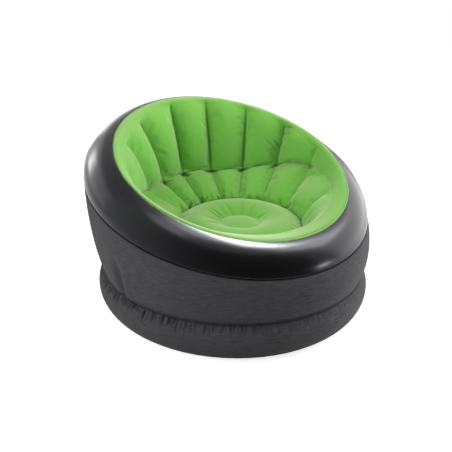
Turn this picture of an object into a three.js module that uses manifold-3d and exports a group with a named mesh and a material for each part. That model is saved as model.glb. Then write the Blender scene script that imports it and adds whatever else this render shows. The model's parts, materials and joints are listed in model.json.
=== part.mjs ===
// An inflatable tub chair, built as its maker welds it: flat films joined at their edges,
// with a bowl of sixteen channels held by webs, a round seat, and a valve at the back.
//
// Lengths are in millimetres. +Z is up, the chair faces -Y, and it stands on z = 0.
// A hoop is a weld line that runs once round the chair. An angle of 0 is the front.
import * as THREE from 'three';
import { mergeVertices } from 'three/addons/utils/BufferGeometryUtils.js';
import Module from 'manifold-3d';

const wasm = await Module();
wasm.setup();

// Films and welds
const WALL_FILM = 0.5;
const FLOCKED_FILM = 0.6;
const INNER_FILM = 0.5;
const WELD_GAP = 0.3;
const WELD_WIDTH = 10;

// Base ring, from the floor to the waist
const WAIST_RADIUS = 503;
const WAIST_HEIGHT = 147;
const FLOOR_INSET = 25;
const BASE_BULGE = 32;

// Belt seam, counted from the waist
const BELT_REACH_FRONT = -5;
const BELT_REACH_SIDE = 33;
const BELT_REACH_BACK = 97;
const BELT_RISE_FRONT = 156;
const BELT_RISE_SIDE = 271;
const BELT_RISE_BACK = 398;
const SIDE_BULGE_SHARE = 0.085;

// Rim seam, counted from the belt seam
const RIM_INSET_FRONT = 91;
const RIM_INSET_SIDE = 95;
const RIM_INSET_BACK = 139;
const RIM_RISE_FRONT = 102;
const RIM_RISE_SIDE = 123;
const RIM_RISE_BACK = 145;
const BAND_BULGE_SHARE = 0.2;

// Crease between the backrest and the seat, counted from the rim seam
const CREASE_INSET_FRONT = 41;
const CREASE_INSET_SIDE = 36;
const CREASE_INSET_BACK = 109;
const CREASE_DROP_FRONT = 20;
const CREASE_DROP_SIDE = 91;
const CREASE_DROP_BACK = 292;
const CREASE_PULL_IN = 26;
const CREASE_PULL_DOWN = 27;

// Round seat: its weld ring, counted from the crease and the waist, and its button
const SEAT_ROW_WIDTH_FRONT = 91;
const SEAT_ROW_WIDTH_BACK = 153;
const SEAT_RISE = 168;
const SEAT_CROWN = 30;
const BUTTON_RADIUS = 75;
const BUTTON_CROWN = 18;

// Channels of the bowl
const CHANNELS = 16;
const CHANNEL_DEPTH = 28;
const SEAT_CHANNEL_DEPTH = 22;
const CHANNEL_DEPTH_SHARE = 0.2;
const SHOULDER_INSET_SHARE = 0.5;
const SHOULDER_DROP_SHARE = 0.12;
const CROWN_RISE = 5;

// Webs, beams and air holes inside
const BASE_BEAM_INSET = 123;
const WEB_HOLE_RADIUS = 30;
const SHEET_HOLE_RADIUS = 25;
const SHEET_HOLES = 8;
const BEAM_HOLE_RADIUS = 20;
const BUTTON_HOLE_RADIUS = 12;

// Valve
const FLANGE_RADIUS = 25;
const FLANGE_THICKNESS = 1.4;
const NECK_RADIUS = 18;
const NECK_WALL = 2;
const NECK_DEPTH = 16;
const COLLAR_RADIUS = 21;
const COLLAR_HEIGHT = 5;
const PLUG_CLEARANCE = 0.6;
const PLUG_DEPTH = 6;
const PLUG_LIP_RADIUS = 20;
const PLUG_LIP_THICKNESS = 2.5;
const PORT_RADIUS = 7.5;
const FLAP_OVERLAP = 3;
const FLAP_THICKNESS = 0.8;
const CAP_RADIUS = 11.5;
const CAP_THICKNESS = 2.5;
const STUB_CLEARANCE = 0.5;
const STUB_TAPER = 1;
const STUB_LENGTH = 6;
const STRAP_WIDTH = 7;
const STRAP_THICKNESS = 0.9;
const STRAP_REACH = 3.5;

// How finely the shapes are divided
const STEPS_PER_CHANNEL = 4;
const STEPS = CHANNELS * STEPS_PER_CHANNEL;
const BASE_SEGMENTS = 4;
const SIDE_SEGMENTS = 4;
const BAND_SEGMENTS = 5;
const SEAT_SEGMENTS = 4;
const BEAM_STEPS = 32;
const VALVE_STEPS = 24;
const HOLE_STEPS = 8;

const TURN = 2 * Math.PI;

// Places down a backrest channel from its shoulder to the crease. A crest share and a valley
// share of 0 lie on the crown of the channel, and shares of 1 lie at its full depth.
const BACKREST_ROWS = [
  { alongShare: 0, crestShare: 0, valleyShare: 0.35 },
  { alongShare: 0.4, crestShare: 0, valleyShare: 1 },
  { alongShare: 0.92, crestShare: 0.3, valleyShare: 1 },
  { alongShare: 1, crestShare: 1, valleyShare: 1 },
];

// The same from the crease to the seat ring.
const SEAT_ROWS = [
  { alongShare: 0, crestShare: 1, valleyShare: 1 },
  { alongShare: 0.15, crestShare: 0.25, valleyShare: 1 },
  { alongShare: 0.5, crestShare: 0, valleyShare: 1 },
  { alongShare: 0.85, crestShare: 0.25, valleyShare: 1 },
  { alongShare: 1, crestShare: 1, valleyShare: 1 },
];

/** A point of a radial section: its distance from the hub, and its height. */
function point(radius, height) {
  return new THREE.Vector2(radius, height);
}

function shifted(place, outward, upward) {
  return point(place.x + outward, place.y + upward);
}

/** A value that runs smoothly from the front by way of the side to the back. */
function blend([front, side, back], angle) {
  const forward = Math.cos(angle);
  return side + (front - back) / 2 * forward + ((front + back) / 2 - side) * forward ** 2;
}

/** A hoop counted from another: so far out and so far up at the front, side and back. */
function hoopFrom(base, outward, upward) {
  return (angle) => shifted(base(angle), blend(outward, angle), blend(upward, angle));
}

const waist = () => point(WAIST_RADIUS, WAIST_HEIGHT);
const floor = () => point(WAIST_RADIUS - FLOOR_INSET, INNER_FILM);
const belt = hoopFrom(
  waist,
  [BELT_REACH_FRONT, BELT_REACH_SIDE, BELT_REACH_BACK],
  [BELT_RISE_FRONT, BELT_RISE_SIDE, BELT_RISE_BACK],
);
const rim = hoopFrom(
  belt,
  [-RIM_INSET_FRONT, -RIM_INSET_SIDE, -RIM_INSET_BACK],
  [RIM_RISE_FRONT, RIM_RISE_SIDE, RIM_RISE_BACK],
);
const evenCrease = hoopFrom(
  rim,
  [-CREASE_INSET_FRONT, -CREASE_INSET_SIDE, -CREASE_INSET_BACK],
  [-CREASE_DROP_FRONT, -CREASE_DROP_SIDE, -CREASE_DROP_BACK],
);

/** The crease, drawn in and down at the rear quarters, where the arms meet the back. */
function crease(angle) {
  const quarter = Math.sin(2 * angle) ** 2 * (1 - Math.cos(angle)) / 2;
  return shifted(evenCrease(angle), -CREASE_PULL_IN * quarter, -CREASE_PULL_DOWN * quarter);
}

const ringFront = crease(0).x - SEAT_ROW_WIDTH_FRONT;
const ringBack = crease(TURN / 2).x - SEAT_ROW_WIDTH_BACK;
const ringRadius = (ringFront + ringBack) / 2;
const seatForward = (ringFront - ringBack) / 2;
const seatHeight = WAIST_HEIGHT + SEAT_RISE;

/** The weld ring of the round seat, whose centre lies in front of the hub. */
function seatRing(angle) {
  const across = seatForward * Math.sin(angle);
  return point(seatForward * Math.cos(angle) + Math.sqrt(ringRadius ** 2 - across ** 2), seatHeight);
}

/** The inner points of an arc that bulges to the right of the way from start to end. */
function arc(start, end, bulge, segments) {
  const along = end.clone().sub(start);
  const halfChord = along.length() / 2;
  const halfTurn = 2 * Math.atan(bulge / halfChord);
  const radius = halfChord / Math.sin(halfTurn);
  along.normalize();
  const outward = point(along.y, -along.x);
  const middle = start.clone().add(end).divideScalar(2);
  return Array.from({ length: segments - 1 }, (_, index) => {
    const turn = halfTurn * (2 * (index + 1) / segments - 1);
    return middle.clone()
      .addScaledVector(along, radius * Math.sin(turn))
      .addScaledVector(outward, radius * (Math.cos(turn) - Math.cos(halfTurn)));
  });
}

/** A path moved to its left by a distance, with mitred corners. */
function offsetPath(path, distance) {
  const normals = path.slice(1).map((end, index) => {
    const along = end.clone().sub(path[index]).normalize();
    return point(-along.y, along.x);
  });
  return path.map((place, index) => {
    const before = normals[Math.max(index - 1, 0)];
    const after = normals[Math.min(index, normals.length - 1)];
    const mitre = before.clone().add(after);
    return place.clone().addScaledVector(mitre, 2 * distance / mitre.lengthSq());
  });
}

/** The closed outline of a film whose shown face follows a path. */
function filmSection(path, gauge) {
  return [...path, ...offsetPath(path, gauge).reverse()];
}

/** The places of a path of the bowl: down its rows, and across its channels by the angle. */
function channelRows(start, end, depth, rows, angle) {
  const along = end.clone().sub(start).normalize();
  const towardSitter = point(along.y, -along.x);
  const acrossShare = Math.abs(2 * ((angle / TURN * CHANNELS + 1 / 2) % 1) - 1);
  const valley = (1 - acrossShare) ** 2;
  const line = new THREE.LineCurve(
    start.clone().addScaledVector(towardSitter, depth * rows[0].crestShare),
    end.clone().addScaledVector(towardSitter, depth),
  );
  return rows.map(({ alongShare, crestShare, valleyShare }) => {
    const sunkShare = crestShare + (valleyShare - crestShare) * valley;
    return line.getPoint(alongShare).addScaledVector(towardSitter, -depth * sunkShare);
  });
}

/** How deep channels of a length are: short ones at the front are shallow. */
function depthOf(start, end, fullDepth) {
  return Math.min(fullDepth, CHANNEL_DEPTH_SHARE * start.distanceTo(end));
}

function baseWallPath(angle) {
  const low = shifted(floor(angle), 0, WELD_GAP);
  const high = shifted(waist(angle), 0, -INNER_FILM / 2 - WELD_GAP);
  return [
    shifted(low, -WELD_WIDTH, 0),
    low,
    ...arc(low, high, BASE_BULGE, BASE_SEGMENTS),
    high,
    shifted(high, -WELD_WIDTH, 0),
  ];
}

function sideWallPath(angle) {
  const low = shifted(waist(angle), 0, INNER_FILM / 2 + WELD_GAP);
  const high = shifted(belt(angle), 0, -WELD_GAP / 2);
  return [
    shifted(low, -WELD_WIDTH, 0),
    low,
    ...arc(low, high, SIDE_BULGE_SHARE * low.distanceTo(high), SIDE_SEGMENTS),
    high,
    shifted(high, -WELD_WIDTH, 0),
  ];
}

function rimBandPath(angle) {
  const low = shifted(belt(angle), 0, WELD_GAP / 2);
  const high = shifted(rim(angle), WELD_GAP / 2, 0);
  return [
    shifted(low, -WELD_WIDTH, 0),
    low,
    ...arc(low, high, BAND_BULGE_SHARE * low.distanceTo(high), BAND_SEGMENTS),
    high,
    shifted(high, 0, -WELD_WIDTH),
  ];
}

function backrestPath(angle) {
  const high = shifted(rim(angle), -WELD_GAP / 2, 0);
  const low = shifted(crease(angle), WELD_GAP / 2, 0);
  const shoulder = point(
    high.x - SHOULDER_INSET_SHARE * (high.x - low.x),
    high.y - SHOULDER_DROP_SHARE * (high.y - low.y),
  );
  const crown = new THREE.QuadraticBezierCurve(
    high,
    shifted(point(shoulder.x, high.y), 0, CROWN_RISE),
    shoulder,
  );
  return [
    shifted(high, 0, -WELD_WIDTH),
    ...crown.getPoints(3).slice(0, -1),
    ...channelRows(shoulder, low, depthOf(high, low, CHANNEL_DEPTH), BACKREST_ROWS, angle),
    shifted(low, 0, -WELD_WIDTH),
  ];
}

function seatPath(angle) {
  const high = shifted(crease(angle), -WELD_GAP / 2, 0);
  const low = shifted(seatRing(angle), INNER_FILM / 2 + WELD_GAP, 0);
  return [
    shifted(high, 0, -WELD_WIDTH),
    ...channelRows(high, low, depthOf(high, low, SEAT_CHANNEL_DEPTH), SEAT_ROWS, angle),
    shifted(low, 0, -WELD_WIDTH),
  ];
}

/** The round seat's path, whose distances are counted from the seat's own centre. */
function seatCentrePath() {
  const edge = point(ringRadius - INNER_FILM / 2 - WELD_GAP, seatHeight);
  const button = point(BUTTON_RADIUS, seatHeight);
  const farButton = point(-BUTTON_RADIUS, seatHeight);
  return [
    shifted(edge, 0, -WELD_WIDTH),
    edge,
    ...arc(edge, button, SEAT_CROWN, SEAT_SEGMENTS),
    button,
    ...arc(button, farButton, BUTTON_CROWN, SEAT_SEGMENTS).slice(0, SEAT_SEGMENTS / 2),
  ];
}

/** A place in the chair: an angle round the hub, and a point of the section there. */
function aroundHub(angle, { x: radius, y: height }) {
  return new THREE.Vector3(radius * Math.sin(angle), -radius * Math.cos(angle), height);
}

/** A place on the round seat, in line with the seat ring's place at the same hub angle. */
function aroundSeat(angle, { x: radius, y: height }) {
  const onRing = aroundHub(angle, seatRing(angle));
  const centre = new THREE.Vector3(0, -seatForward, height);
  onRing.z = height;
  return centre.lerp(onRing, radius / ringRadius);
}

/**
 * The body that a closed section makes as it goes once round. The section's second half runs
 * back along its first, so its faces are split the other way, and both sides of a film bend
 * alike.
 */
function sweep(sectionAt, steps, place = aroundHub) {
  const rings = Array.from({ length: steps }, (_, step) => {
    const angle = TURN * step / steps;
    return sectionAt(angle).map((corner) => place(angle, corner));
  });
  const size = rings[0].length;
  const indices = [];
  for (let step = 0; step < steps; step += 1) {
    const here = step * size;
    const next = ((step + 1) % steps) * size;
    for (let corner = 0; corner < size; corner += 1) {
      const after = (corner + 1) % size;
      if (corner < size / 2) {
        indices.push(here + corner, next + corner, next + after);
        indices.push(here + corner, next + after, here + after);
      } else {
        indices.push(here + corner, next + corner, here + after);
        indices.push(here + after, next + corner, next + after);
      }
    }
  }
  const geometry = new THREE.BufferGeometry().setFromPoints(rings.flat());
  geometry.setIndex(indices);
  return closed(geometry);
}

/** A geometry whose shared corners are merged, without the faces that this collapses. */
function closed(geometry) {
  const bare = geometry.clone();
  bare.deleteAttribute('normal');
  bare.deleteAttribute('uv');
  const merged = mergeVertices(bare);
  const kept = [];
  for (let first = 0; first < merged.index.count; first += 3) {
    const corners = [0, 1, 2].map((offset) => merged.index.getX(first + offset));
    if (new Set(corners).size === corners.length) {
      kept.push(...corners);
    }
  }
  merged.setIndex(kept);
  return merged;
}

function solidFrom(geometry) {
  const merged = closed(geometry);
  return new wasm.Manifold(new wasm.Mesh({
    numProp: 3,
    vertProperties: new Float32Array(merged.attributes.position.array),
    triVerts: new Uint32Array(merged.index.array),
  }));
}

/** A geometry with others cut out of it. */
function cut(geometry, tools) {
  const mesh = tools
    .reduce((solid, tool) => solid.subtract(solidFrom(tool)), solidFrom(geometry))
    .getMesh();
  const result = new THREE.BufferGeometry();
  result.setAttribute('position', new THREE.BufferAttribute(new Float32Array(mesh.vertProperties), 3));
  result.setIndex([...mesh.triVerts]);
  return result;
}

/** A sheet or a beam between two radii and two heights at each angle. */
function wallBetween(innerAt, outerAt, bottom, top, steps) {
  return sweep((angle) => [
    point(innerAt(angle), bottom),
    point(outerAt(angle), bottom),
    point(outerAt(angle), top),
    point(innerAt(angle), top),
  ], steps);
}

/** A cylinder along X that pierces a beam on both sides, turned about the seat's centre. */
function holeThrough(radius, reach, height, angle) {
  return new THREE.CylinderGeometry(radius, radius, 2 * reach, HOLE_STEPS)
    .rotateZ(TURN / 4)
    .rotateZ(angle)
    .translate(0, -seatForward, height);
}

function bottomSheet() {
  return sweep((angle) => [
    point(0, 0),
    point(floor(angle).x, 0),
    point(floor(angle).x, INNER_FILM),
    point(0, INNER_FILM),
  ], STEPS);
}

function waistSheet() {
  const sheet = wallBetween(
    (angle) => seatRing(angle).x + INNER_FILM / 2 + WELD_GAP,
    (angle) => waist(angle).x,
    WAIST_HEIGHT - INNER_FILM / 2,
    WAIST_HEIGHT + INNER_FILM / 2,
    STEPS,
  );
  const middleRadius = (ringRadius + WAIST_RADIUS - BASE_BEAM_INSET) / 2;
  const holes = Array.from({ length: SHEET_HOLES }, (_, index) => {
    const angle = TURN * (index / SHEET_HOLES + 1 / (2 * CHANNELS));
    const centre = aroundHub(angle, point(middleRadius, WAIST_HEIGHT));
    return new THREE.CylinderGeometry(SHEET_HOLE_RADIUS, SHEET_HOLE_RADIUS, WELD_WIDTH, HOLE_STEPS)
      .rotateX(TURN / 4)
      .translate(centre.x, centre.y, centre.z);
  });
  return cut(sheet, holes);
}

function seatRingBeam() {
  const beam = wallBetween(
    (angle) => seatRing(angle).x - INNER_FILM / 2,
    (angle) => seatRing(angle).x + INNER_FILM / 2,
    INNER_FILM + WELD_GAP,
    seatHeight,
    STEPS,
  );
  const heights = [WAIST_HEIGHT / 2, (WAIST_HEIGHT + seatHeight) / 2];
  const holes = heights.flatMap((height) => [TURN / 16, TURN * 5 / 16].map(
    (angle) => holeThrough(BEAM_HOLE_RADIUS, WAIST_RADIUS, height, angle),
  ));
  return cut(beam, holes);
}

function baseRingBeam() {
  const radius = WAIST_RADIUS - BASE_BEAM_INSET;
  const beam = wallBetween(
    () => radius - INNER_FILM / 2,
    () => radius + INNER_FILM / 2,
    INNER_FILM + WELD_GAP,
    WAIST_HEIGHT - INNER_FILM / 2 - WELD_GAP,
    BEAM_STEPS,
  );
  const holes = [0, TURN / 4].map(
    (angle) => holeThrough(BEAM_HOLE_RADIUS, WAIST_RADIUS, WAIST_HEIGHT / 2, angle),
  );
  return cut(beam, holes);
}

function buttonBeam() {
  const beam = sweep(() => [
    point(BUTTON_RADIUS - INNER_FILM / 2, INNER_FILM + WELD_GAP),
    point(BUTTON_RADIUS + INNER_FILM / 2, INNER_FILM + WELD_GAP),
    point(BUTTON_RADIUS + INNER_FILM / 2, seatHeight - 2 * FLOCKED_FILM - WELD_GAP),
    point(BUTTON_RADIUS - INNER_FILM / 2, seatHeight - 2 * FLOCKED_FILM - WELD_GAP),
  ], BEAM_STEPS).translate(0, -seatForward, 0);
  const holes = [0, TURN / 4].map(
    (angle) => holeThrough(BUTTON_HOLE_RADIUS, 2 * BUTTON_RADIUS, WAIST_HEIGHT, angle),
  );
  return cut(beam, holes);
}

/** A web under one valley: from the waist sheet up to the bowl, clear of the weld flanges. */
function seamWeb(angle) {
  const clear = FLOCKED_FILM + WELD_GAP;
  const underBack = offsetPath(backrestPath(angle), clear).slice(-4);
  const underSeat = offsetPath(seatPath(angle), clear);
  const outerTop = underBack[0].clone().lerp(underBack[1], 1 / 2);
  const flangeFoot = underBack.at(-1).y - WELD_GAP;
  const ringFoot = underSeat.at(-1).y - WELD_GAP;
  const innerRadius = seatRing(angle).x + INNER_FILM / 2 + WELD_GAP;
  const bottom = WAIST_HEIGHT + INNER_FILM / 2 + WELD_GAP;
  const outline = new THREE.Shape([
    point(outerTop.x, bottom),
    outerTop,
    ...underBack.slice(1),
    point(underBack.at(-1).x, flangeFoot),
    point(underSeat[0].x, flangeFoot),
    ...underSeat,
    point(underSeat.at(-1).x, ringFoot),
    point(innerRadius, ringFoot),
    point(innerRadius, bottom),
  ]);
  const hole = new THREE.Path().absarc(
    (innerRadius + outerTop.x) / 2,
    (bottom + seatHeight) / 2,
    WEB_HOLE_RADIUS,
    0,
    TURN,
  );
  outline.holes.push(hole);
  return new THREE.ExtrudeGeometry(outline, {
    depth: INNER_FILM,
    bevelEnabled: false,
    curveSegments: HOLE_STEPS / 2,
  }).translate(0, 0, -INNER_FILM / 2).rotateX(TURN / 4);
}

/** The facet of the side wall, low at the back, that carries the valve. */
function valveSeat() {
  const middle = STEPS / 2;
  const corners = [middle, middle + 1].flatMap((step) => {
    const angle = TURN * step / STEPS;
    return sideWallPath(angle).slice(1, 3).map((corner) => aroundHub(angle, corner));
  });
  const centre = corners
    .reduce((sum, corner) => sum.add(corner), new THREE.Vector3())
    .divideScalar(corners.length);
  const outward = new THREE.Vector3().crossVectors(
    corners[2].clone().sub(corners[0]),
    corners[1].clone().sub(corners[0]),
  ).normalize();
  const across = new THREE.Vector3(0, 0, 1).cross(outward).normalize();
  const upward = outward.clone().cross(across);
  return new THREE.Matrix4().makeBasis(across, upward, outward).setPosition(centre);
}

function turned(section) {
  return sweep(() => section, VALVE_STEPS);
}

function disc(radius, bottom, top) {
  return turned([point(0, bottom), point(radius, bottom), point(radius, top), point(0, top)]);
}

const neckBore = NECK_RADIUS - NECK_WALL;
const flangeTop = WELD_GAP + FLANGE_THICKNESS;
const lipBottom = COLLAR_HEIGHT + WELD_GAP;
const lipTop = lipBottom + PLUG_LIP_THICKNESS;
const capBottom = lipTop + WELD_GAP;

function valveBody() {
  return turned([
    point(neckBore, -NECK_DEPTH),
    point(NECK_RADIUS, -NECK_DEPTH),
    point(NECK_RADIUS, WELD_GAP),
    point(FLANGE_RADIUS, WELD_GAP),
    point(FLANGE_RADIUS, flangeTop),
    point(COLLAR_RADIUS, flangeTop),
    point(COLLAR_RADIUS, COLLAR_HEIGHT),
    point(neckBore, COLLAR_HEIGHT),
  ]);
}

function deflatePlug() {
  const plugRadius = neckBore - PLUG_CLEARANCE;
  return turned([
    point(PORT_RADIUS, -PLUG_DEPTH),
    point(plugRadius, -PLUG_DEPTH),
    point(plugRadius, lipBottom),
    point(PLUG_LIP_RADIUS, lipBottom),
    point(PLUG_LIP_RADIUS, lipTop),
    point(PORT_RADIUS, lipTop),
  ]);
}

function checkFlap() {
  const top = -PLUG_DEPTH - WELD_GAP;
  return disc(PORT_RADIUS + FLAP_OVERLAP, top - FLAP_THICKNESS, top);
}

function inflateCap() {
  const stubRadius = PORT_RADIUS - STUB_CLEARANCE;
  return turned([
    point(0, capBottom - STUB_LENGTH),
    point(stubRadius - STUB_TAPER, capBottom - STUB_LENGTH),
    point(stubRadius, capBottom),
    point(CAP_RADIUS, capBottom),
    point(CAP_RADIUS, capBottom + CAP_THICKNESS),
    point(0, capBottom + CAP_THICKNESS),
  ]);
}

/** A strap of the valve, as wide as its film outline is extruded, in the plane of Y and Z. */
function strap(path) {
  const outline = new THREE.Shape(filmSection(path, STRAP_THICKNESS));
  return new THREE.ExtrudeGeometry(outline, { depth: STRAP_WIDTH, bevelEnabled: false })
    .translate(0, 0, -STRAP_WIDTH / 2)
    .rotateX(TURN / 4)
    .rotateZ(TURN / 4);
}

/** The short flat strap that the small cap turns on, above the plug's lip. */
function capStrap() {
  return strap([point(CAP_RADIUS + WELD_GAP, capBottom), point(PLUG_LIP_RADIUS, capBottom)]);
}

/** The strap that keeps the plug: out from its lip, and down to the valve's flange. */
function plugStrap() {
  const level = lipBottom + STRAP_THICKNESS;
  const outside = -PLUG_LIP_RADIUS - STRAP_REACH;
  return strap([
    point(outside, flangeTop + WELD_GAP),
    point(outside, level - STRAP_THICKNESS),
    point(outside + STRAP_THICKNESS, level),
    point(-PLUG_LIP_RADIUS - WELD_GAP, level),
  ].reverse());
}

const wallFabric = { color: 0x3c3b3e, roughness: 0.75, metalness: 0 };
const glossyBand = { color: 0x131315, roughness: 0.3, metalness: 0 };
const flock = { color: 0x78ba54, roughness: 0.95, metalness: 0 };
const innerVinyl = { color: 0x2b2b2e, roughness: 0.6, metalness: 0 };
const valveVinyl = { color: 0x1c1c1e, roughness: 0.45, metalness: 0 };

/** A named mesh of a finish. */
function piece(name, geometry, finish) {
  const mesh = new THREE.Mesh(geometry, new THREE.MeshStandardMaterial(finish));
  mesh.name = name;
  return mesh;
}

function skin(name, pathAt, gauge, finish, place) {
  return piece(name, sweep((angle) => filmSection(pathAt(angle), gauge), STEPS, place), finish);
}

/** The side wall, with a round hole for the valve's neck. */
function sideWall() {
  const wall = sweep((angle) => filmSection(sideWallPath(angle), WALL_FILM), STEPS);
  const holeRadius = NECK_RADIUS + WELD_GAP;
  const hole = new THREE.CylinderGeometry(holeRadius, holeRadius, 2 * NECK_DEPTH, VALVE_STEPS)
    .rotateX(TURN / 4)
    .applyMatrix4(valveSeat());
  return piece('side_wall', cut(wall, [hole]), wallFabric);
}

/** The film that the round seat is made of, closed at its middle. */
function seatCentre() {
  const section = filmSection(seatCentrePath(), FLOCKED_FILM);
  section[section.length / 2].x = 0;
  return piece('seat_centre_panel', sweep(() => section, STEPS, aroundSeat), flock);
}

function shell() {
  const group = new THREE.Group();
  group.add(piece('bottom_sheet', bottomSheet(), innerVinyl));
  group.add(skin('base_wall', baseWallPath, WALL_FILM, wallFabric));
  group.add(sideWall());
  group.add(skin('rim_band', rimBandPath, WALL_FILM, glossyBand));
  group.add(skin('backrest_panel', backrestPath, FLOCKED_FILM, flock));
  group.add(skin('seat_panel', seatPath, FLOCKED_FILM, flock));
  group.add(seatCentre());
  return group;
}

function insides() {
  const group = new THREE.Group();
  group.add(piece('waist_sheet', waistSheet(), innerVinyl));
  group.add(piece('seat_ring_beam', seatRingBeam(), innerVinyl));
  group.add(piece('base_ring_beam', baseRingBeam(), innerVinyl));
  group.add(piece('button_beam', buttonBeam(), innerVinyl));
  for (let index = 0; index < CHANNELS; index += 1) {
    const angle = TURN * index / CHANNELS;
    const name = `seam_web_${String(index + 1).padStart(2, '0')}`;
    const web = piece(name, seamWeb(angle), innerVinyl);
    web.rotation.z = angle - TURN / 4;
    group.add(web);
  }
  return group;
}

function valve() {
  const group = new THREE.Group();
  valveSeat().decompose(group.position, group.quaternion, group.scale);
  group.add(piece('valve_body', valveBody(), valveVinyl));
  group.add(piece('deflate_plug', deflatePlug(), valveVinyl));
  group.add(piece('check_flap', checkFlap(), valveVinyl));
  group.add(piece('inflate_cap', inflateCap(), valveVinyl));
  group.add(piece('plug_strap', plugStrap(), valveVinyl));
  group.add(piece('cap_strap', capStrap(), valveVinyl));
  return group;
}

/** The whole chair, with the middle of its footprint over the origin. */
function inflatableChair() {
  const chair = new THREE.Group();
  chair.name = 'inflatable_chair';
  chair.add(shell(), insides(), valve());
  const middle = new THREE.Box3().setFromObject(chair).getCenter(new THREE.Vector3());
  chair.position.y = -middle.y;
  return chair;
}

export default inflatableChair();
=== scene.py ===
"""The looks of an inflatable tub chair: its films, welds, bowl, rim band and air valve.

Lengths are in metres. +Z is up, the chair faces -Y and it stands on z = 0. A place in a radial
section is a complex number: the real part is the distance from the hub, and the imaginary part
is the height. An angle of 0 is the front, and angles grow towards +X.
"""

import json
import logging
import math
from collections.abc import Callable, Iterable, Sequence
from dataclasses import dataclass, field
from enum import Enum

import bmesh
import bpy
import numpy as np
from bpy.types import Material, Mesh, Node, NodeSocket, NodeTree, Object
from mathutils import Matrix, Vector


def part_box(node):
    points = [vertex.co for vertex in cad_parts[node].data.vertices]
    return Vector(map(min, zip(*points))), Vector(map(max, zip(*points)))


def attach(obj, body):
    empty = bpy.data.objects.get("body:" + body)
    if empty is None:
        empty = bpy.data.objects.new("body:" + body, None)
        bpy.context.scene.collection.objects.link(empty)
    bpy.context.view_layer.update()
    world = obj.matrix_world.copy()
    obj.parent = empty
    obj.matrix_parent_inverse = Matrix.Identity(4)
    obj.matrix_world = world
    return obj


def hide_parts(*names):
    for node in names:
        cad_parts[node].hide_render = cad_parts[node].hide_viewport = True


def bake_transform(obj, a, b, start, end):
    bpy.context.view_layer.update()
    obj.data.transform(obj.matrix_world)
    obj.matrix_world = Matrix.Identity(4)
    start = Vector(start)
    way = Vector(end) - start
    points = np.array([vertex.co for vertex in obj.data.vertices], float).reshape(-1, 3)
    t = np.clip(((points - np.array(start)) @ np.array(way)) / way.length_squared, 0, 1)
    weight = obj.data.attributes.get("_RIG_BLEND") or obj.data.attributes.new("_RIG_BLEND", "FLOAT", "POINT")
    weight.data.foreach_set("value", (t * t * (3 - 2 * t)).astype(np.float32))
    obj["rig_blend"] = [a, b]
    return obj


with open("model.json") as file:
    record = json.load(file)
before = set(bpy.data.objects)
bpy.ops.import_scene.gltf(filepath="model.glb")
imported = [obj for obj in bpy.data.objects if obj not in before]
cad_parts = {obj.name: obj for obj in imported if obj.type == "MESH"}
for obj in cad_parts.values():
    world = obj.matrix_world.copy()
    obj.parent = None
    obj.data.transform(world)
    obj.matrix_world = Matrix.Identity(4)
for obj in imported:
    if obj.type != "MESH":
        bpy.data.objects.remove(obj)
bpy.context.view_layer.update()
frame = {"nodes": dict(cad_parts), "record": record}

LOG = logging.getLogger("inflatable_chair")
TURN = 2 * math.pi
# Vertex attribute for darker weld lines and for painted shade in valleys, folds, pits and grooves
WELD_LINES_AND_SHADE = "weld_lines_and_shade"
Colour = tuple[float, float, float]
Values = np.ndarray | float


class Slot(Enum):
    """The record's material slots."""

    FLOCK = "green_flock"
    GLOSS = "gloss_vinyl"
    FABRIC = "wall_fabric"
    BASE = "base_vinyl"
    INNER = "inner_vinyl"
    VALVE = "valve_vinyl"


# Shader maths


def maths(operation: str, turned: bool = False) -> Callable[..., "Number"]:
    """Makes a method that adds one Math node.

    Args:
        operation: The node's operation.
        turned: True if it takes the other number first.

    Returns:
        The method, which takes the other number and gives the node's result.
    """

    def method(self: "Number", other: object = 0) -> "Number":
        """The result of the operation."""
        pair = (other, self) if turned else (self, other)
        node = self.shader.node("ShaderNodeMath", {"operation": operation}, dict(enumerate(pair)))
        return Number(self.shader, node.outputs[0])

    return method


class Number:
    """A number that a shader works out at each point, written in sums as a float is."""

    def __init__(self, shader: "Shader", socket: NodeSocket) -> None:
        """Wraps a socket of the shader's node tree."""
        self.shader = shader
        self.socket = socket

    __add__ = __radd__ = maths("ADD")
    __sub__ = maths("SUBTRACT")
    __rsub__ = maths("SUBTRACT", turned=True)
    __mul__ = __rmul__ = maths("MULTIPLY")
    largest = maths("MAXIMUM")
    sine = maths("SINE")

    def between(self, low: float, high: float) -> "Number":
        """A number that runs from low to high as this one goes from 0 to 1."""
        return self * (high - low) + low


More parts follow.
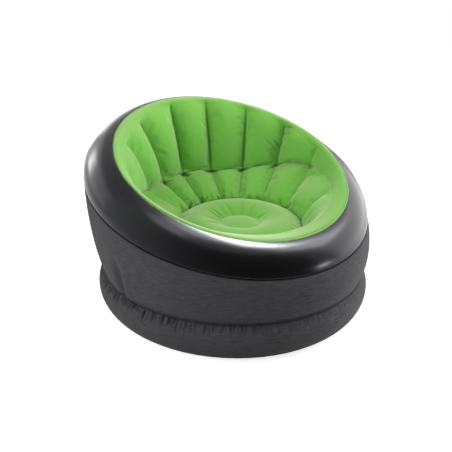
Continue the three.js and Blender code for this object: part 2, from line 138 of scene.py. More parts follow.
class Shader:
    """A node tree and the calls that add to it."""

    def __init__(self, tree: NodeTree) -> None:
        """Works on the tree of a material or of the world."""
        self.tree = tree

    def node(self, kind: str, settings: dict, values: dict) -> Node:
        """Adds a node.

        Args:
            kind: The node's type.
            settings: What is set on the node itself, such as a Math node's operation.
            values: The value or link of each socket, by name or number.

        Returns:
            The new node.
        """
        node = self.tree.nodes.new(kind)
        for name, value in settings.items():
            setattr(node, name, value)
        for key, value in values.items():
            self.feed(node.inputs[key], value)
        return node

    def feed(self, target: NodeSocket, value: object) -> None:
        """Links a socket or a Number to a socket, or sets the socket's own value."""
        if isinstance(value, Number):
            value = value.socket
        if isinstance(value, NodeSocket):
            self.tree.links.new(value, target)
        elif isinstance(value, tuple) and target.type == "RGBA":
            target.default_value = (*value, 1)
        else:
            target.default_value = value

    def coordinates(self, output: str) -> NodeSocket:
        """Texture coordinates of one kind."""
        return self.node("ShaderNodeTexCoord", {}, {}).outputs[output]

    def split(self, vector: NodeSocket) -> list[Number]:
        """The three parts of a vector."""
        parts = self.node("ShaderNodeSeparateXYZ", {}, {0: vector}).outputs
        return [Number(self, part) for part in parts]

    def grain(self, size: Colour, detail: float) -> Number:
        """Noise from 0 to 1 on an object, whose features have about a size along each axis."""
        scale = tuple(1 / side for side in size)
        values = {"Vector": self.coordinates("Object"), "Scale": scale}
        place = self.node("ShaderNodeMapping", {}, values).outputs["Vector"]
        values = {"Vector": place, "Scale": 1, "Detail": detail}
        return Number(self, self.node("ShaderNodeTexNoise", {}, values).outputs["Fac"])

    def blend(self, amount: object, first: object, second: object) -> NodeSocket:
        """A colour that runs from the first to the second as the amount goes from 0 to 1."""
        node = self.node("ShaderNodeMix", {"data_type": "RGBA"}, {"Factor": amount})
        colours = [socket for socket in node.inputs if socket.type == "RGBA"]
        self.feed(colours[0], first)
        self.feed(colours[1], second)
        return next(socket for socket in node.outputs if socket.type == "RGBA")

    def weld_lines_and_shade(self) -> Number:
        """How far darker weld lines and painted shade darken the film, as its vertices store it."""
        settings = {"attribute_name": WELD_LINES_AND_SHADE}
        return Number(self, self.node("ShaderNodeAttribute", settings, {}).outputs["Fac"])

    def bump(self, height: Number, strength: float, distance: float) -> NodeSocket:
        """A normal that a height bends."""
        values = {"Height": height, "Strength": strength, "Distance": distance}
        return self.node("ShaderNodeBump", {}, values).outputs["Normal"]


# Finishes


def alike(size: float) -> Colour:
    """The same size along each axis."""
    return size, size, size


@dataclass(frozen=True)
class Finish:
    """A finish: its slot in the record, and a darker and a lighter tone that its noise mixes."""

    slot: Slot
    dark: Colour
    light: Colour

    def surface(self, shader: Shader) -> dict:
        """The values and links of the shader's sockets. Each finish gives its own."""
        raise NotImplementedError

    def material(self) -> Material:
        """The finish's material, made the first time that it is asked for."""
        name = self.slot.value + "_finish"
        found = bpy.data.materials.get(name)
        if found:
            return found
        material = bpy.data.materials.new(name)
        material.use_nodes = True
        shader = Shader(material.node_tree)
        surface = material.node_tree.nodes["Principled BSDF"]
        for name, value in self.surface(shader).items():
            shader.feed(surface.inputs[name], value)
        return material


@dataclass(frozen=True)
class Flock(Finish):
    """Short soft fibres on a film, brushed in patches, darker along the welds and with painted shade in
    valleys, folds and pits.
    """

    # The colour of the darker weld lines and of painted shade in valleys, folds and pits
    weld_lines_and_shade: Colour
    tuft: float = 0.0009
    patch: float = 0.09
    pile: float = 0.0005
    fuzz_share: float = 0.5
    roughness: tuple[float, float] = (0.85, 0.95)
    sheen: float = 0.75
    sheen_roughness: float = 0.5
    sheen_tint: Colour = (1.0, 0.86, 0.78)
    nap_relief: float = 0.4
    relief: float = 0.25

    def surface(self, shader: Shader) -> dict:
        """Colour, fuzz and sheen."""
        fuzz = shader.grain(alike(self.tuft), detail=3)
        nap = shader.grain(alike(self.patch), detail=4)
        mottled = fuzz * self.fuzz_share + nap * (1 - self.fuzz_share)
        brushed = shader.blend(mottled, self.dark, self.light)
        return {
            # Blends in darker weld lines and painted shade where the vertices are marked
            "Base Color": shader.blend(shader.weld_lines_and_shade(), brushed, self.weld_lines_and_shade),
            "Roughness": fuzz.between(*self.roughness),
            "Specular IOR Level": 0.0,
            "Sheen Weight": self.sheen,
            "Sheen Roughness": self.sheen_roughness,
            "Sheen Tint": self.sheen_tint,
            "Normal": shader.bump(fuzz + nap * self.nap_relief, self.relief, self.pile),
        }


@dataclass(frozen=True)
class GlossFilm(Finish):
    """Glossy black film, with the faint ripple of vinyl under air."""

    grain: float = 0.004
    ripple: float = 0.06
    roughness: tuple[float, float] = (0.2, 0.26)
    gloss: float = 0.25
    # A bluish tint on the reflections, which stands in for bluish studio light
    gloss_tint: Colour = (0.93, 0.95, 1.0)
    grain_relief: float = 0.04
    relief: float = 0.12
    ripple_height: float = 0.0015

    def surface(self, shader: Shader) -> dict:
        """Colour, gloss and ripple."""
        grain = shader.grain(alike(self.grain), detail=2)
        ripple = shader.grain(alike(self.ripple), detail=1)
        height = ripple + grain * self.grain_relief
        return {
            "Base Color": shader.blend(grain, self.dark, self.light),
            "Roughness": ripple.between(*self.roughness),
            "Specular IOR Level": self.gloss,
            "Specular Tint": self.gloss_tint,
            "Normal": shader.bump(height, self.relief, self.ripple_height),
        }


@dataclass(frozen=True)
class Heather(Finish):
    """Charcoal cloth face of the wall films: flecked yarns in a plain weave."""

    # The colour of painted shade in the waist groove and pleats, and of the darker belt seam
    groove: Colour
    fleck: Colour = (0.03, 0.03, 0.0024)
    cloud: float = 1 / 14
    thread: float = 0.0011
    contrast: tuple[float, float] = (-0.35, 1.35)
    fleck_share: float = 0.75
    roughness: tuple[float, float] = (0.68, 0.8)
    sheen: float = 0.1
    sheen_roughness: float = 0.5
    weave_relief: float = 0.5
    relief: float = 0.2
    yarn_height: float = 0.0003

    def surface(self, shader: Shader) -> dict:
        """Colour, yarns and weave."""
        heather = shader.grain(self.fleck, detail=3).between(*self.contrast)
        cloud = shader.grain(alike(self.cloud), detail=3)
        across, along, _ = shader.split(shader.coordinates("UV"))
        warp, weft = ((way * (TURN / self.thread)).sine() for way in (across, along))
        flecked = heather * self.fleck_share + cloud * (1 - self.fleck_share)
        cloth = shader.blend(flecked, self.dark, self.light)
        height = warp * weft * self.weave_relief + heather
        return {
            # Blends in painted shade and the darker seam where the vertices are marked
            "Base Color": shader.blend(shader.weld_lines_and_shade(), cloth, self.groove),
            "Roughness": heather.between(*self.roughness),
            "Specular IOR Level": 0.0,
            "Sheen Weight": self.sheen,
            "Sheen Roughness": self.sheen_roughness,
            "Normal": shader.bump(height, self.relief, self.yarn_height),
        }


@dataclass(frozen=True)
class PlainVinyl(Finish):
    """Matt or satin vinyl with a fine leathery grain."""

    grain: float
    roughness: float
    roughness_spread: float = 0.1
    gloss: float = 0.25
    relief: float = 0.15
    grain_height: float = 0.0002

    def surface(self, shader: Shader) -> dict:
        """Colour, gloss and grain."""
        grain = shader.grain(alike(self.grain), detail=3)
        return {
            "Base Color": shader.blend(grain, self.dark, self.light),
            "Roughness": grain * self.roughness_spread + self.roughness,
            "Specular IOR Level": self.gloss,
            "Normal": shader.bump(grain, self.relief, self.grain_height),
        }


# The flock's pressed colour and the fabric's groove colour are painted shade and darker weld lines
FLOCK = Flock(
    Slot.FLOCK, dark=(0.132, 0.39, 0.05), light=(0.176, 0.47, 0.071), weld_lines_and_shade=(0.032, 0.16, 0.004)
)
GLOSS = GlossFilm(Slot.GLOSS, dark=(0.0025, 0.0025, 0.003), light=(0.004, 0.004, 0.0045))
FABRIC = Heather(
    Slot.FABRIC, dark=(0.032, 0.031, 0.033), light=(0.086, 0.084, 0.089), groove=(0.008, 0.008, 0.01)
)
BASE = PlainVinyl(Slot.BASE, (0.015, 0.015, 0.017), (0.025, 0.025, 0.027), 0.002, 0.6)
INNER = PlainVinyl(Slot.INNER, (0.026, 0.026, 0.029), (0.036, 0.036, 0.039), 0.002, 0.55)
VALVE = PlainVinyl(Slot.VALVE, (0.011, 0.011, 0.012), (0.018, 0.018, 0.019), 0.0012, 0.4)


# The chair's weld lines


@dataclass(frozen=True)
class Round:
    """A length that changes smoothly from the front by way of the sides to the back."""

    front: float
    side: float
    back: float

    def at(self, angle: Values) -> Values:
        """The length at each angle."""
        forward = np.cos(angle)
        even = (self.front + self.back) / 2 - self.side
        return self.side + (self.front - self.back) / 2 * forward + even * forward**2


@dataclass(frozen=True)
class Welds:
    """The weld lines that run once round the chair, each counted from the one before it."""

    hub: float
    waist_radius: float = 0.503
    waist_height: float = 0.147
    floor_inset: float = 0.025
    belt_reach: Round = Round(-0.005, 0.033, 0.097)
    belt_rise: Round = Round(0.156, 0.271, 0.398)
    rim_inset: Round = Round(0.091, 0.095, 0.139)
    rim_rise: Round = Round(0.102, 0.123, 0.145)
    crease_inset: Round = Round(0.041, 0.036, 0.109)
    crease_drop: Round = Round(0.020, 0.091, 0.292)
    crease_pull_in: float = 0.026
    crease_pull_down: float = 0.027
    seat_row_front: float = 0.091
    seat_row_back: float = 0.153
    seat_rise: float = 0.168
    channels: int = 16
    weld_width: float = 0.01
    gap: float = 0.0003
    ring_lift: float = 0.014
    roll_left: tuple[float, float] = (math.radians(-108), math.radians(-132))
    roll_right: tuple[float, float] = (math.radians(81), math.radians(97))
    roll_middle: float = math.radians(-50)
    roll_reach: tuple[float, float] = (math.radians(74), math.radians(100))

    def waist(self, angle: Values) -> Values:
        """The groove between the base ring and the side wall."""
        return self.waist_radius + 1j * self.waist_height + 0 * angle

    def floor(self, angle: Values) -> Values:
        """The weld of the base wall to the bottom sheet."""
        return self.waist_radius - self.floor_inset + 3j * self.gap + 0 * angle

    def belt(self, angle: Values) -> Values:
        """The seam between the side wall and the rim band."""
        return self.waist(angle) + self.belt_reach.at(angle) + 1j * self.belt_rise.at(angle)

    def rim(self, angle: Values) -> Values:
        """The seam between the rim band and the green bowl."""
        return self.belt(angle) - self.rim_inset.at(angle) + 1j * self.rim_rise.at(angle)

    def crease(self, angle: Values) -> Values:
        """The crease between backrest and seat, drawn in and down at the rear quarters."""
        even = self.rim(angle) - self.crease_inset.at(angle) - 1j * self.crease_drop.at(angle)
        quarter = np.sin(2 * angle) ** 2 * (1 - np.cos(angle)) / 2
        return even - (self.crease_pull_in + 1j * self.crease_pull_down) * quarter

    def seat_size(self) -> tuple[float, float]:
        """The round seat's radius, and how far in front of the hub its centre is."""
        front = float(self.crease(np.array(0.0)).real) - self.seat_row_front
        back = float(self.crease(np.array(math.pi)).real) - self.seat_row_back
        return (front + back) / 2, (front - back) / 2

    def seat_ring(self, angle: Values) -> Values:
        """The weld ring of the round seat."""
        radius, forward = self.seat_size()
        across = forward * np.sin(angle)
        height = self.waist_height + self.seat_rise
        return forward * np.cos(angle) + np.sqrt(radius**2 - across**2) + 1j * height

    def place(self, angle: Values, section: Values) -> Values:
        """Places in the chair, one row each, of the places of the section at each angle."""
        radius = section.real
        return np.stack(
            [radius * np.sin(angle), self.hub - radius * np.cos(angle), section.imag], axis=-1
        )

    def joint(self, angle: Values) -> Values:
        """The weld ring as the air holds it: pulled up a little where the seat runs out flat."""
        return self.seat_ring(angle) + 1j * self.ring_lift * self.flat(angle)

    def plain(self, angle: Values) -> Values:
        """1 where the arms and the front are one smooth roll, and 0 where there is a crease."""
        left, right = self.roll_left, self.roll_right
        creased = ease((angle - right[0]) / (right[1] - right[0]))
        return 1 - np.maximum(creased, ease((angle - left[0]) / (left[1] - left[0])))

    def flat(self, angle: Values) -> Values:
        """1 where the front roll runs out flat into the round seat, and 0 at the deep ring."""
        near, far = self.roll_reach
        off = np.abs((angle - self.roll_middle + math.pi) % TURN - math.pi)
        return 1 - ease((off - near) / (far - near))

    def from_line(self, angle: Values) -> Values:
        """How far a channel's middle is: 0 on a channel line, and 1 halfway between two."""
        return np.abs(2 * ((angle / TURN * self.channels + 0.5) % 1) - 1)


def arc(start: Values, end: Values, bulge: Values, share: Values) -> Values:
    """The place on an arc that bulges to the right of the way from start to end.

    Args:
        start: Where the arc starts.
        end: Where it ends.
        bulge: How far its middle lies from the straight way.
        share: How far along it the place is, from 0 to 1.

    Returns:
        The place in the section.
    """
    half = np.abs(end - start) / 2
    half_turn = 2 * np.arctan(bulge / half)
    radius = half / np.sin(half_turn)
    along = (end - start) / (2 * half)
    turn = half_turn * (2 * share - 1)
    sagitta = radius * (np.cos(turn) - np.cos(half_turn))
    return (start + end) / 2 + along * radius * np.sin(turn) - 1j * along * sagitta


def ease(value: Values) -> Values:
    """A smooth step from 0 to 1."""
    held = np.clip(value, 0, 1)
    return held * held * (3 - 2 * held)


def close(distance: Values, reach: float) -> Values:
    """1 where a distance is 0, and next to nothing at twice its reach."""
    return np.exp(-((distance / reach) ** 2))


def by_line(angle: Values, values: Sequence[float]) -> Values:
    """A value that is given on each channel line, from the one at -180 degrees on."""
    return np.interp(angle, np.linspace(-math.pi, math.pi, len(values)), values)


def bezier(points: Sequence[Values], share: Values) -> Values:
    """The place at each share of a curve with four control points."""
    rest = 1 - share
    weights = (rest**3, 3 * rest**2 * share, 3 * rest * share**2, share**3)
    return sum(point * weight for point, weight in zip(points, weights))


def dome(value: Values, roundness: float) -> Values:
    """How far a rounded end has sunk: 0 at its top, where the value is 0, and 1 at 1."""
    held = np.clip(value, 0, 1)
    return 1 - (1 - held**roundness) ** (1 / roundness)


# Films


def vectors(mesh: Mesh, name: str) -> Values:
    """A vector that a mesh has at each vertex, one row each."""
    flat = np.empty(3 * len(mesh.vertices))
    mesh.vertices.foreach_get(name, flat)
    return flat.reshape(-1, 3)


class Film:
    """A film that runs once round the chair, from one weld to another.

    It starts as a grid that is rolled into a flat ring. The direction of a vertex in that ring
    is its angle round the chair, and its distance past the ring's hole is its share of the way
    across the film. One more row at each end is the turned-in weld.
    """

    def __init__(self, name: str, steps: int, rows: int) -> None:
        """Makes the flat ring.

        Args:
            name: The object's name.
            steps: How many faces go round.
            rows: How many faces go across.
        """
        shape = bmesh.new()
        bmesh.ops.create_grid(shape, x_segments=steps, y_segments=rows + 2, size=1)
        hole, half_width = 1.0, 0.5
        reach = half_width + 1 / rows
        for vertex in shape.verts:
            turn = vertex.co.x * math.pi
            radius = hole + half_width + vertex.co.y * reach
            vertex.co = (radius * math.sin(turn), -radius * math.cos(turn), 0)
        bmesh.ops.remove_doubles(shape, verts=shape.verts[:], dist=1e-5)
        self.object = made(name, shape)
        flat = self.places()
        share = np.hypot(flat[:, 0], flat[:, 1]) - hole
        self.angle = np.arctan2(flat[:, 0], -flat[:, 1])
        self.share = np.clip(share, 0, 1)
        self.before = share < -0.5 / rows
        self.after = share > 1 + 0.5 / rows

    def inside(self) -> Values:
        """True on the film, and False on its turned-in welds."""
        return ~(self.before | self.after)

    def places(self) -> Values:
        """Where the vertices are, one row each."""
        return vectors(self.object.data, "co")

    def move(self, places: Values) -> None:
        """Puts the vertices at new places."""
        self.object.data.vertices.foreach_set("co", places.ravel())
        self.object.data.update()

    def normals(self) -> Values:
        """The direction that the film faces at each vertex."""
        return vectors(self.object.data, "normal")

    def keep(self, kept: Values) -> None:
        """Takes out the vertices that aren't kept."""
        shape = bmesh.new()
        shape.from_mesh(self.object.data)
        gone = [vertex for vertex, stays in zip(shape.verts, kept) if not stays]
        bmesh.ops.delete(shape, geom=gone, context="VERTS")
        shape.to_mesh(self.object.data)
        shape.free()
        self.angle, self.share = self.angle[kept], self.share[kept]
        self.before, self.after = self.before[kept], self.after[kept]

    def darken(self, values: Values) -> None:
        """Adds to how far darker weld lines and painted shade darken the film at each vertex, from 0 to 1.
        """
        layers = self.object.data.attributes
        layer = layers.get(WELD_LINES_AND_SHADE) or layers.new(WELD_LINES_AND_SHADE, "FLOAT", "POINT")
        stored = np.empty(len(layer.data))
        layer.data.foreach_get("value", stored)
        layer.data.foreach_set("value", np.clip(stored + values, 0, 1))

    def swell(self, height: Values) -> None:
        """Moves each vertex along its normal, outwards where the height is above 0."""
        self.move(self.places() + self.normals() * height[:, None])

    def unwrap(self, radius: float, width: float) -> None:
        """Gives the film a UV map in metres: round the chair, and across the film."""
        mesh = self.object.data
        corners = np.empty(len(mesh.loops), dtype=int)
        mesh.loops.foreach_get("vertex_index", corners)
        angle = self.angle[corners].reshape(-1, 4)
        first = angle[:, :1]
        round_share = first + (angle - first + math.pi) % TURN - math.pi
        across = self.share[corners].reshape(-1, 4)
        layer = mesh.uv_layers.new(name="film")
        layer.data.foreach_set("uv", np.stack([round_share * radius, across * width], axis=-1).ravel())

    def finish(self, look: Finish, gauge: float, *replaced: str) -> Object:
        """Gives the film its thickness and finish, and lets it stand for its CAD node.

        Args:
            look: The film's finish.
            gauge: The film's thickness.
            replaced: The CAD node that the film stands for, if any.

        Returns:
            The film's object.
        """
        wall = self.object.modifiers.new("film", "SOLIDIFY")
        wall.thickness = gauge
        wall.offset = -1
        return dressed(self.object, look, "chair", *replaced)


def made(name: str, shape: bmesh.types.BMesh) -> Object:
    """Makes a smooth object from a bmesh.

    Args:
        name: The object's name.
        shape: The bmesh, which is freed.

    Returns:
        The object, which stands at the origin.
    """
    for face in shape.faces:
        face.smooth = True
    mesh = bpy.data.meshes.new(name)
    shape.to_mesh(mesh)
    shape.free()
    obj = bpy.data.objects.new(name, mesh)
    bpy.context.scene.collection.objects.link(obj)
    return obj


def dressed(obj: Object, look: Finish, body: str | None, *replaced: str) -> Object:
    """Gives a piece its finish, its body and the CAD nodes that it stands for.

    Args:
        obj: The piece.
        look: Its finish.
        body: The body that it moves with, or None if it bends between two.
        replaced: The CAD nodes that it stands for.

    Returns:
        The piece.
    """
    obj.data.materials.clear()
    obj.data.materials.append(look.material())
    if body:
        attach(obj, body)
    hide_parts(*replaced)
    LOG.info("%s: %d faces, on %s", obj.name, len(obj.data.polygons), body)
    return obj


# Brings a fold's deepest place, a third of the way along it, to its full depth
DEEPEST = 2.6
# Headings along a film, in degrees: on from its first weld, and back to it
ONWARDS, BACKWARDS = 0, 180


@dataclass(frozen=True)
class Fold:
    """One small fold in a film: where it starts, which way it runs, and its size.

    The start is an angle round the chair and a way along the film from its first weld. A
    heading of 0 runs along the film, and a quarter turn runs towards greater angles.
    """

    angle: float
    along: float
    heading: float
    length: float
    width: float
    depth: float
    bend: float

    def sink(self, angle: Values, radius: Values, along: Values) -> Values:
        """How far the fold sinks at each vertex.

        Args:
            angle: The vertices' angles.
            radius: Their distances from the middle that the angles turn about.
            along: How far along the film they are.

        Returns:
            The depths, 0 or more.
        """
        aside = ((angle - self.angle + math.pi) % TURN - math.pi) * radius
        ahead = along - self.along
        run = (ahead * math.cos(self.heading) + aside * math.sin(self.heading)) / self.length
        off = aside * math.cos(self.heading) - ahead * math.sin(self.heading)
        off = off - self.bend * self.length * run**2
        held = np.clip(run, 0, 1)
        return self.depth * DEEPEST * np.sqrt(held) * (1 - held) * close(off, self.width)


@dataclass(frozen=True)
class Gathers:
    """Folds that fan out of corners, or run away from a weld, no two of them alike.

    Each is drawn near the size given: its start and heading stray by angle, length and degrees,
    its length, width and depth lie between two shares, and it bends to one side.
    """

    length: float
    width: float
    depth: float
    strays: tuple[float, float, float] = (0.006, 0.0025, 7)
    lengths: tuple[float, float] = (0.6, 1.4)
    widths: tuple[float, float] = (0.75, 1.25)
    depths: tuple[float, float] = (0.45, 1.3)
    bend: float = 0.12

    def fan(
        self, draw: np.random.Generator, angle: float, along: float,
        headings: Sequence[float], strength: float = 1.0,
    ) -> list[Fold]:
        """Folds that start near one place.

        Args:
            draw: Where the folds' differences come from.
            angle: The angle of the place.
            along: How far along the film it is.
            headings: Which way the folds run, in degrees.
            strength: Their depth, as a share of the full depth.

        Returns:
            The folds.
        """
        return [
            Fold(
                angle=angle + draw.normal(0, self.strays[0]),
                along=along + draw.normal(0, self.strays[1]),
                heading=math.radians(heading + draw.normal(0, self.strays[2])),
                length=self.length * draw.uniform(*self.lengths),
                width=self.width * draw.uniform(*self.widths),
                depth=self.depth * draw.uniform(*self.depths) * strength,
                bend=draw.normal(0, self.bend),
            )
            for heading in headings
        ]


def sunk_by(folds: Sequence[Fold], angle: Values, radius: Values, along: Values) -> Values:
    """How far folds sink a film, each vertex given as a fold takes it."""
    return sum(fold.sink(angle, radius, along) for fold in folds)


@dataclass
class Wall:
    """The outer films: the base ring, the side wall and the glossy rim band."""

    welds: Welds
    gauge: float = 0.0005
    steps: int = 1536
    band_steps: int = 512
    base_rows: int = 24
    side_rows: int = 36
    band_rows: int = 30
    hem_rows: int = 4
    waist_pinch: float = 0.006
    waist_reach: float = 0.016
    waist_line: float = 0.004
    waist_shade: float = 0.8
    base_fade: float = 0.003
    side_fade: float = 0.004
    belt_line: float = 0.002
    base_bulge: float = 0.032
    base_arc_share: float = 1.12
    side_bulge_share: Round = Round(0.1, 0.055, 0.02)
    band_bulge_share: Round = Round(0.16, 0.17, 0.25)
    hem_width: Round = Round(0.008, 0.002, 0.002)
    hem_gauge: float = 0.0008
    hem_line: float = 0.002
    hem_shade: float = 0.9
    hem_taper: float = 0.4
    pinch: float = 0.0016
    pinch_reach: float = 0.005
    dimple_angle: float = math.radians(-86)
    dimple_width: float = 0.023
    dimple_depth: float = 0.016
    dimple_top: float = 0.17
    dimple_fades: tuple[float, float] = (0.02, 0.08)
    ridge_share: float = 0.35
    ridge_offset: float = 1.7
    pleat: Gathers = Gathers(length=0.036, width=0.0036, depth=0.0062)
    pleat_count: int = 330
    pleat_stray: float = 0.35
    pleat_lean: float = 6
    pleat_start: float = 0.001
    pleat_shade: float = 0.5
    pleat_shares: tuple[float, ...] = (
        0.6, 0.7, 0.85, 1, 1, 0.95, 0.6, 0.3, 0.15, 0.1, 0.05, 0.05, 0.05, 0.1, 0.3, 0.5, 0.6,
    )
    crinkle: Gathers = Gathers(length=0.03, width=0.005, depth=0.0016)
    crinkle_count: int = 60
    base_seed: int = 3
    side_seed: int = 5
    valve_flat: float = 0.028
    valve_fade: float = 0.05
    valve_hole: float = 0.0178

    def build(self, valve: Matrix) -> None:
        """Makes the films.

        Args:
            valve: The valve's place on the side wall, with Z outwards.
        """
        self.base()
        self.side(valve)
        self.band()
        self.hem()

    def roll(self, film: Film, low: Values, high: Values, bulge: Values, tuck: complex = 1) -> None:
        """Lays a film in an arc from weld to weld, and turns its ends in.

        Args:
            film: The film.
            low: Where its lower weld is at each vertex's angle.
            high: Where its upper weld is.
            bulge: How far its middle stands out.
            tuck: Which way the upper weld is turned: 1 is towards the hub, and 1j is down.
        """
        section = arc(low, high, bulge, film.share)
        section -= self.welds.weld_width * (film.before + tuck * film.after)
        film.move(self.welds.place(film.angle, section))

    def pleats(
        self, film: Film, kind: Gathers, draw: np.random.Generator, middles: Iterable[float],
        from_waist: Values,
    ) -> Values:
        """How far folds sink a wall by the waist: deep at the left and back, faint at the right.

        Args:
            film: The wall's film.
            kind: The folds' size.
            draw: Where their differences come from.
            middles: Their angles.
            from_waist: How far each vertex is from the waist.

        Returns:
            The depths.
        """
        folds = []
        for middle in middles:
            strength = float(by_line(middle, self.pleat_shares))
            headings = [draw.normal(0, self.pleat_lean)]
            folds += kind.fan(draw, middle, self.pleat_start, headings, strength)
        return sunk_by(folds, film.angle, self.welds.waist_radius, from_waist)

    def drawn_in(self, from_waist: Values) -> Values:
        """How the waist's weld draws in the film on each side of it."""
        return -self.waist_pinch * np.exp(-from_waist / self.waist_reach)

    def base(self) -> None:
        """The ring that stands on the floor, gathered under the waist."""
        film = Film("base_ring_skin", self.steps, self.base_rows)
        low = self.welds.floor(film.angle)
        high = self.welds.waist(film.angle) - 2j * self.welds.gap
        self.roll(film, low, high, self.base_bulge)
        width = float(np.abs(high - low)[0]) * self.base_arc_share
        below = (1 - film.share) * width
        draw = np.random.default_rng(self.base_seed)
        stray = self.pleat_stray
        middles = (
            (number + draw.uniform(-stray, stray)) * TURN / self.pleat_count - math.pi
            for number in range(self.pleat_count)
        )
        sunk = self.pleats(film, self.pleat, draw, middles, below)
        # Painted shade in the waist groove and in the pleats
        film.darken(self.waist_shade * close(below, self.waist_line))
        film.darken(self.pleat_shade * sunk / self.pleat.depth)
        film.swell((self.drawn_in(below) - sunk) * ease(below / self.base_fade) * ~film.after)
        film.unwrap(self.welds.waist_radius, width)
        film.finish(FABRIC, self.gauge, "base_wall")

    def side(self, valve: Matrix) -> None:
        """The tall wall, with its dimple at the left and the hole for the valve."""
        film = Film("side_wall_skin", self.steps, self.side_rows)
        low = self.welds.waist(film.angle) + 2j * self.welds.gap
        high = self.welds.belt(film.angle) - 1j * self.welds.gap / 2
        width = np.abs(high - low)
        self.roll(film, low, high, self.side_bulge_share.at(film.angle) * width)
        above = film.share * width
        draw = np.random.default_rng(self.side_seed)
        middles = draw.uniform(-math.pi, math.pi, self.crinkle_count)
        deep = self.pinched(width - above) + self.drawn_in(above)
        deep -= self.pleats(film, self.crinkle, draw, middles, above)
        aside = (film.angle - self.dimple_angle) * self.welds.waist_radius
        crease = close(aside, self.dimple_width)
        ridge = close(aside - self.ridge_offset * self.dimple_width, self.dimple_width)
        low_fade, high_fade = self.dimple_fades
        fade = ease(above / low_fade) * ease((self.dimple_top - above) / high_fade)
        deep -= self.dimple_depth * (crease - self.ridge_share * ridge) * fade
        # Painted shade in the waist groove, and a darker line at the belt seam
        film.darken(self.waist_shade * close(above, self.waist_line))
        film.darken(close(width - above, self.belt_line))
        film.swell(deep * ease(above / self.side_fade) * ~film.after)
        self.seat_valve(film, valve)
        film.unwrap(self.welds.waist_radius, float(width.mean()))
        film.finish(FABRIC, self.gauge, "side_wall")

    def pinched(self, distance: Values) -> Values:
        """How a weld draws in the film on each side of it."""
        return -self.pinch * np.exp(-np.abs(distance) / self.pinch_reach)

    def seat_valve(self, film: Film, valve: Matrix) -> None:
        """Flattens the wall under the valve's flange and opens it for the valve's neck.

        Args:
            film: The side wall's film.
            valve: The valve's place, with Z outwards.
        """
        turn = np.array(valve.to_3x3())
        local = (film.places() - np.array(valve.translation)) @ turn
        out = np.hypot(local[:, 0], local[:, 1])
        near = (out < self.valve_fade) & (np.abs(local[:, 2]) < self.valve_fade)
        keep = ease((out - self.valve_flat) / (self.valve_fade - self.valve_flat))
        local[:, 2] *= np.where(near, keep, 1)
        film.move(local @ turn.T + np.array(valve.translation))
        inverse = valve.inverted()
        shape = bmesh.new()
        shape.from_mesh(film.object.data)
        middles = [(face, inverse @ face.calc_center_median()) for face in shape.faces]
        gone = [
            face for face, middle in middles
            if middle.to_2d().length < self.valve_hole and abs(middle.z) < self.valve_fade
        ]
        bmesh.ops.delete(shape, geom=gone, context="FACES_ONLY")
        kept = np.array([len(vertex.link_faces) > 0 for vertex in shape.verts])
        shape.to_mesh(film.object.data)
        shape.free()
        film.keep(kept)

    def band_edges(self, angle: Values) -> tuple[Values, Values]:
        """The welds of the rim band, and of the hem that laps over it."""
        low = self.welds.belt(angle) + 1j * self.welds.gap / 2
        return low, self.welds.rim(angle) + self.welds.gap / 2

    def band(self) -> None:
        """The glossy band round the rim."""
        film = Film("rim_band_skin", self.band_steps, self.band_rows)
        low, high = self.band_edges(film.angle)
        width = np.abs(high - low)
        self.roll(film, low, high, self.band_bulge_share.at(film.angle) * width, 1j)
        film.swell(self.pinched(film.share * width) * ~film.after)
        film.unwrap(self.welds.waist_radius, float(width.mean()))
        film.finish(GLOSS, self.gauge, "rim_band")

    def hem(self) -> None:
        """The edge of the green panel, which laps over the band outside its weld."""
        film = Film("rim_hem", self.band_steps, self.hem_rows)
        low, high = self.band_edges(film.angle)
        width = np.abs(high - low)
        lap = self.hem_width.at(film.angle) * (1 - film.share)
        section = arc(low, high, self.band_bulge_share.at(film.angle) * width, 1 - lap / width)
        film.move(self.welds.place(film.angle, section))
        film.swell(self.hem_gauge * (1 - film.share * self.hem_taper) * ~film.before)
        # A dark line along the rim seam: partly the weld, partly painted shade in the crease
        film.darken(self.hem_shade * close(lap, self.hem_line))
        film.unwrap(self.welds.waist_radius, self.welds.weld_width)
        film.finish(FLOCK, self.hem_gauge)


@dataclass
class Panel:
    """A green panel: its film, which vertices are welded, and how far each may be blown."""

    film: Film
    held: Values
    give: Values
    node: str


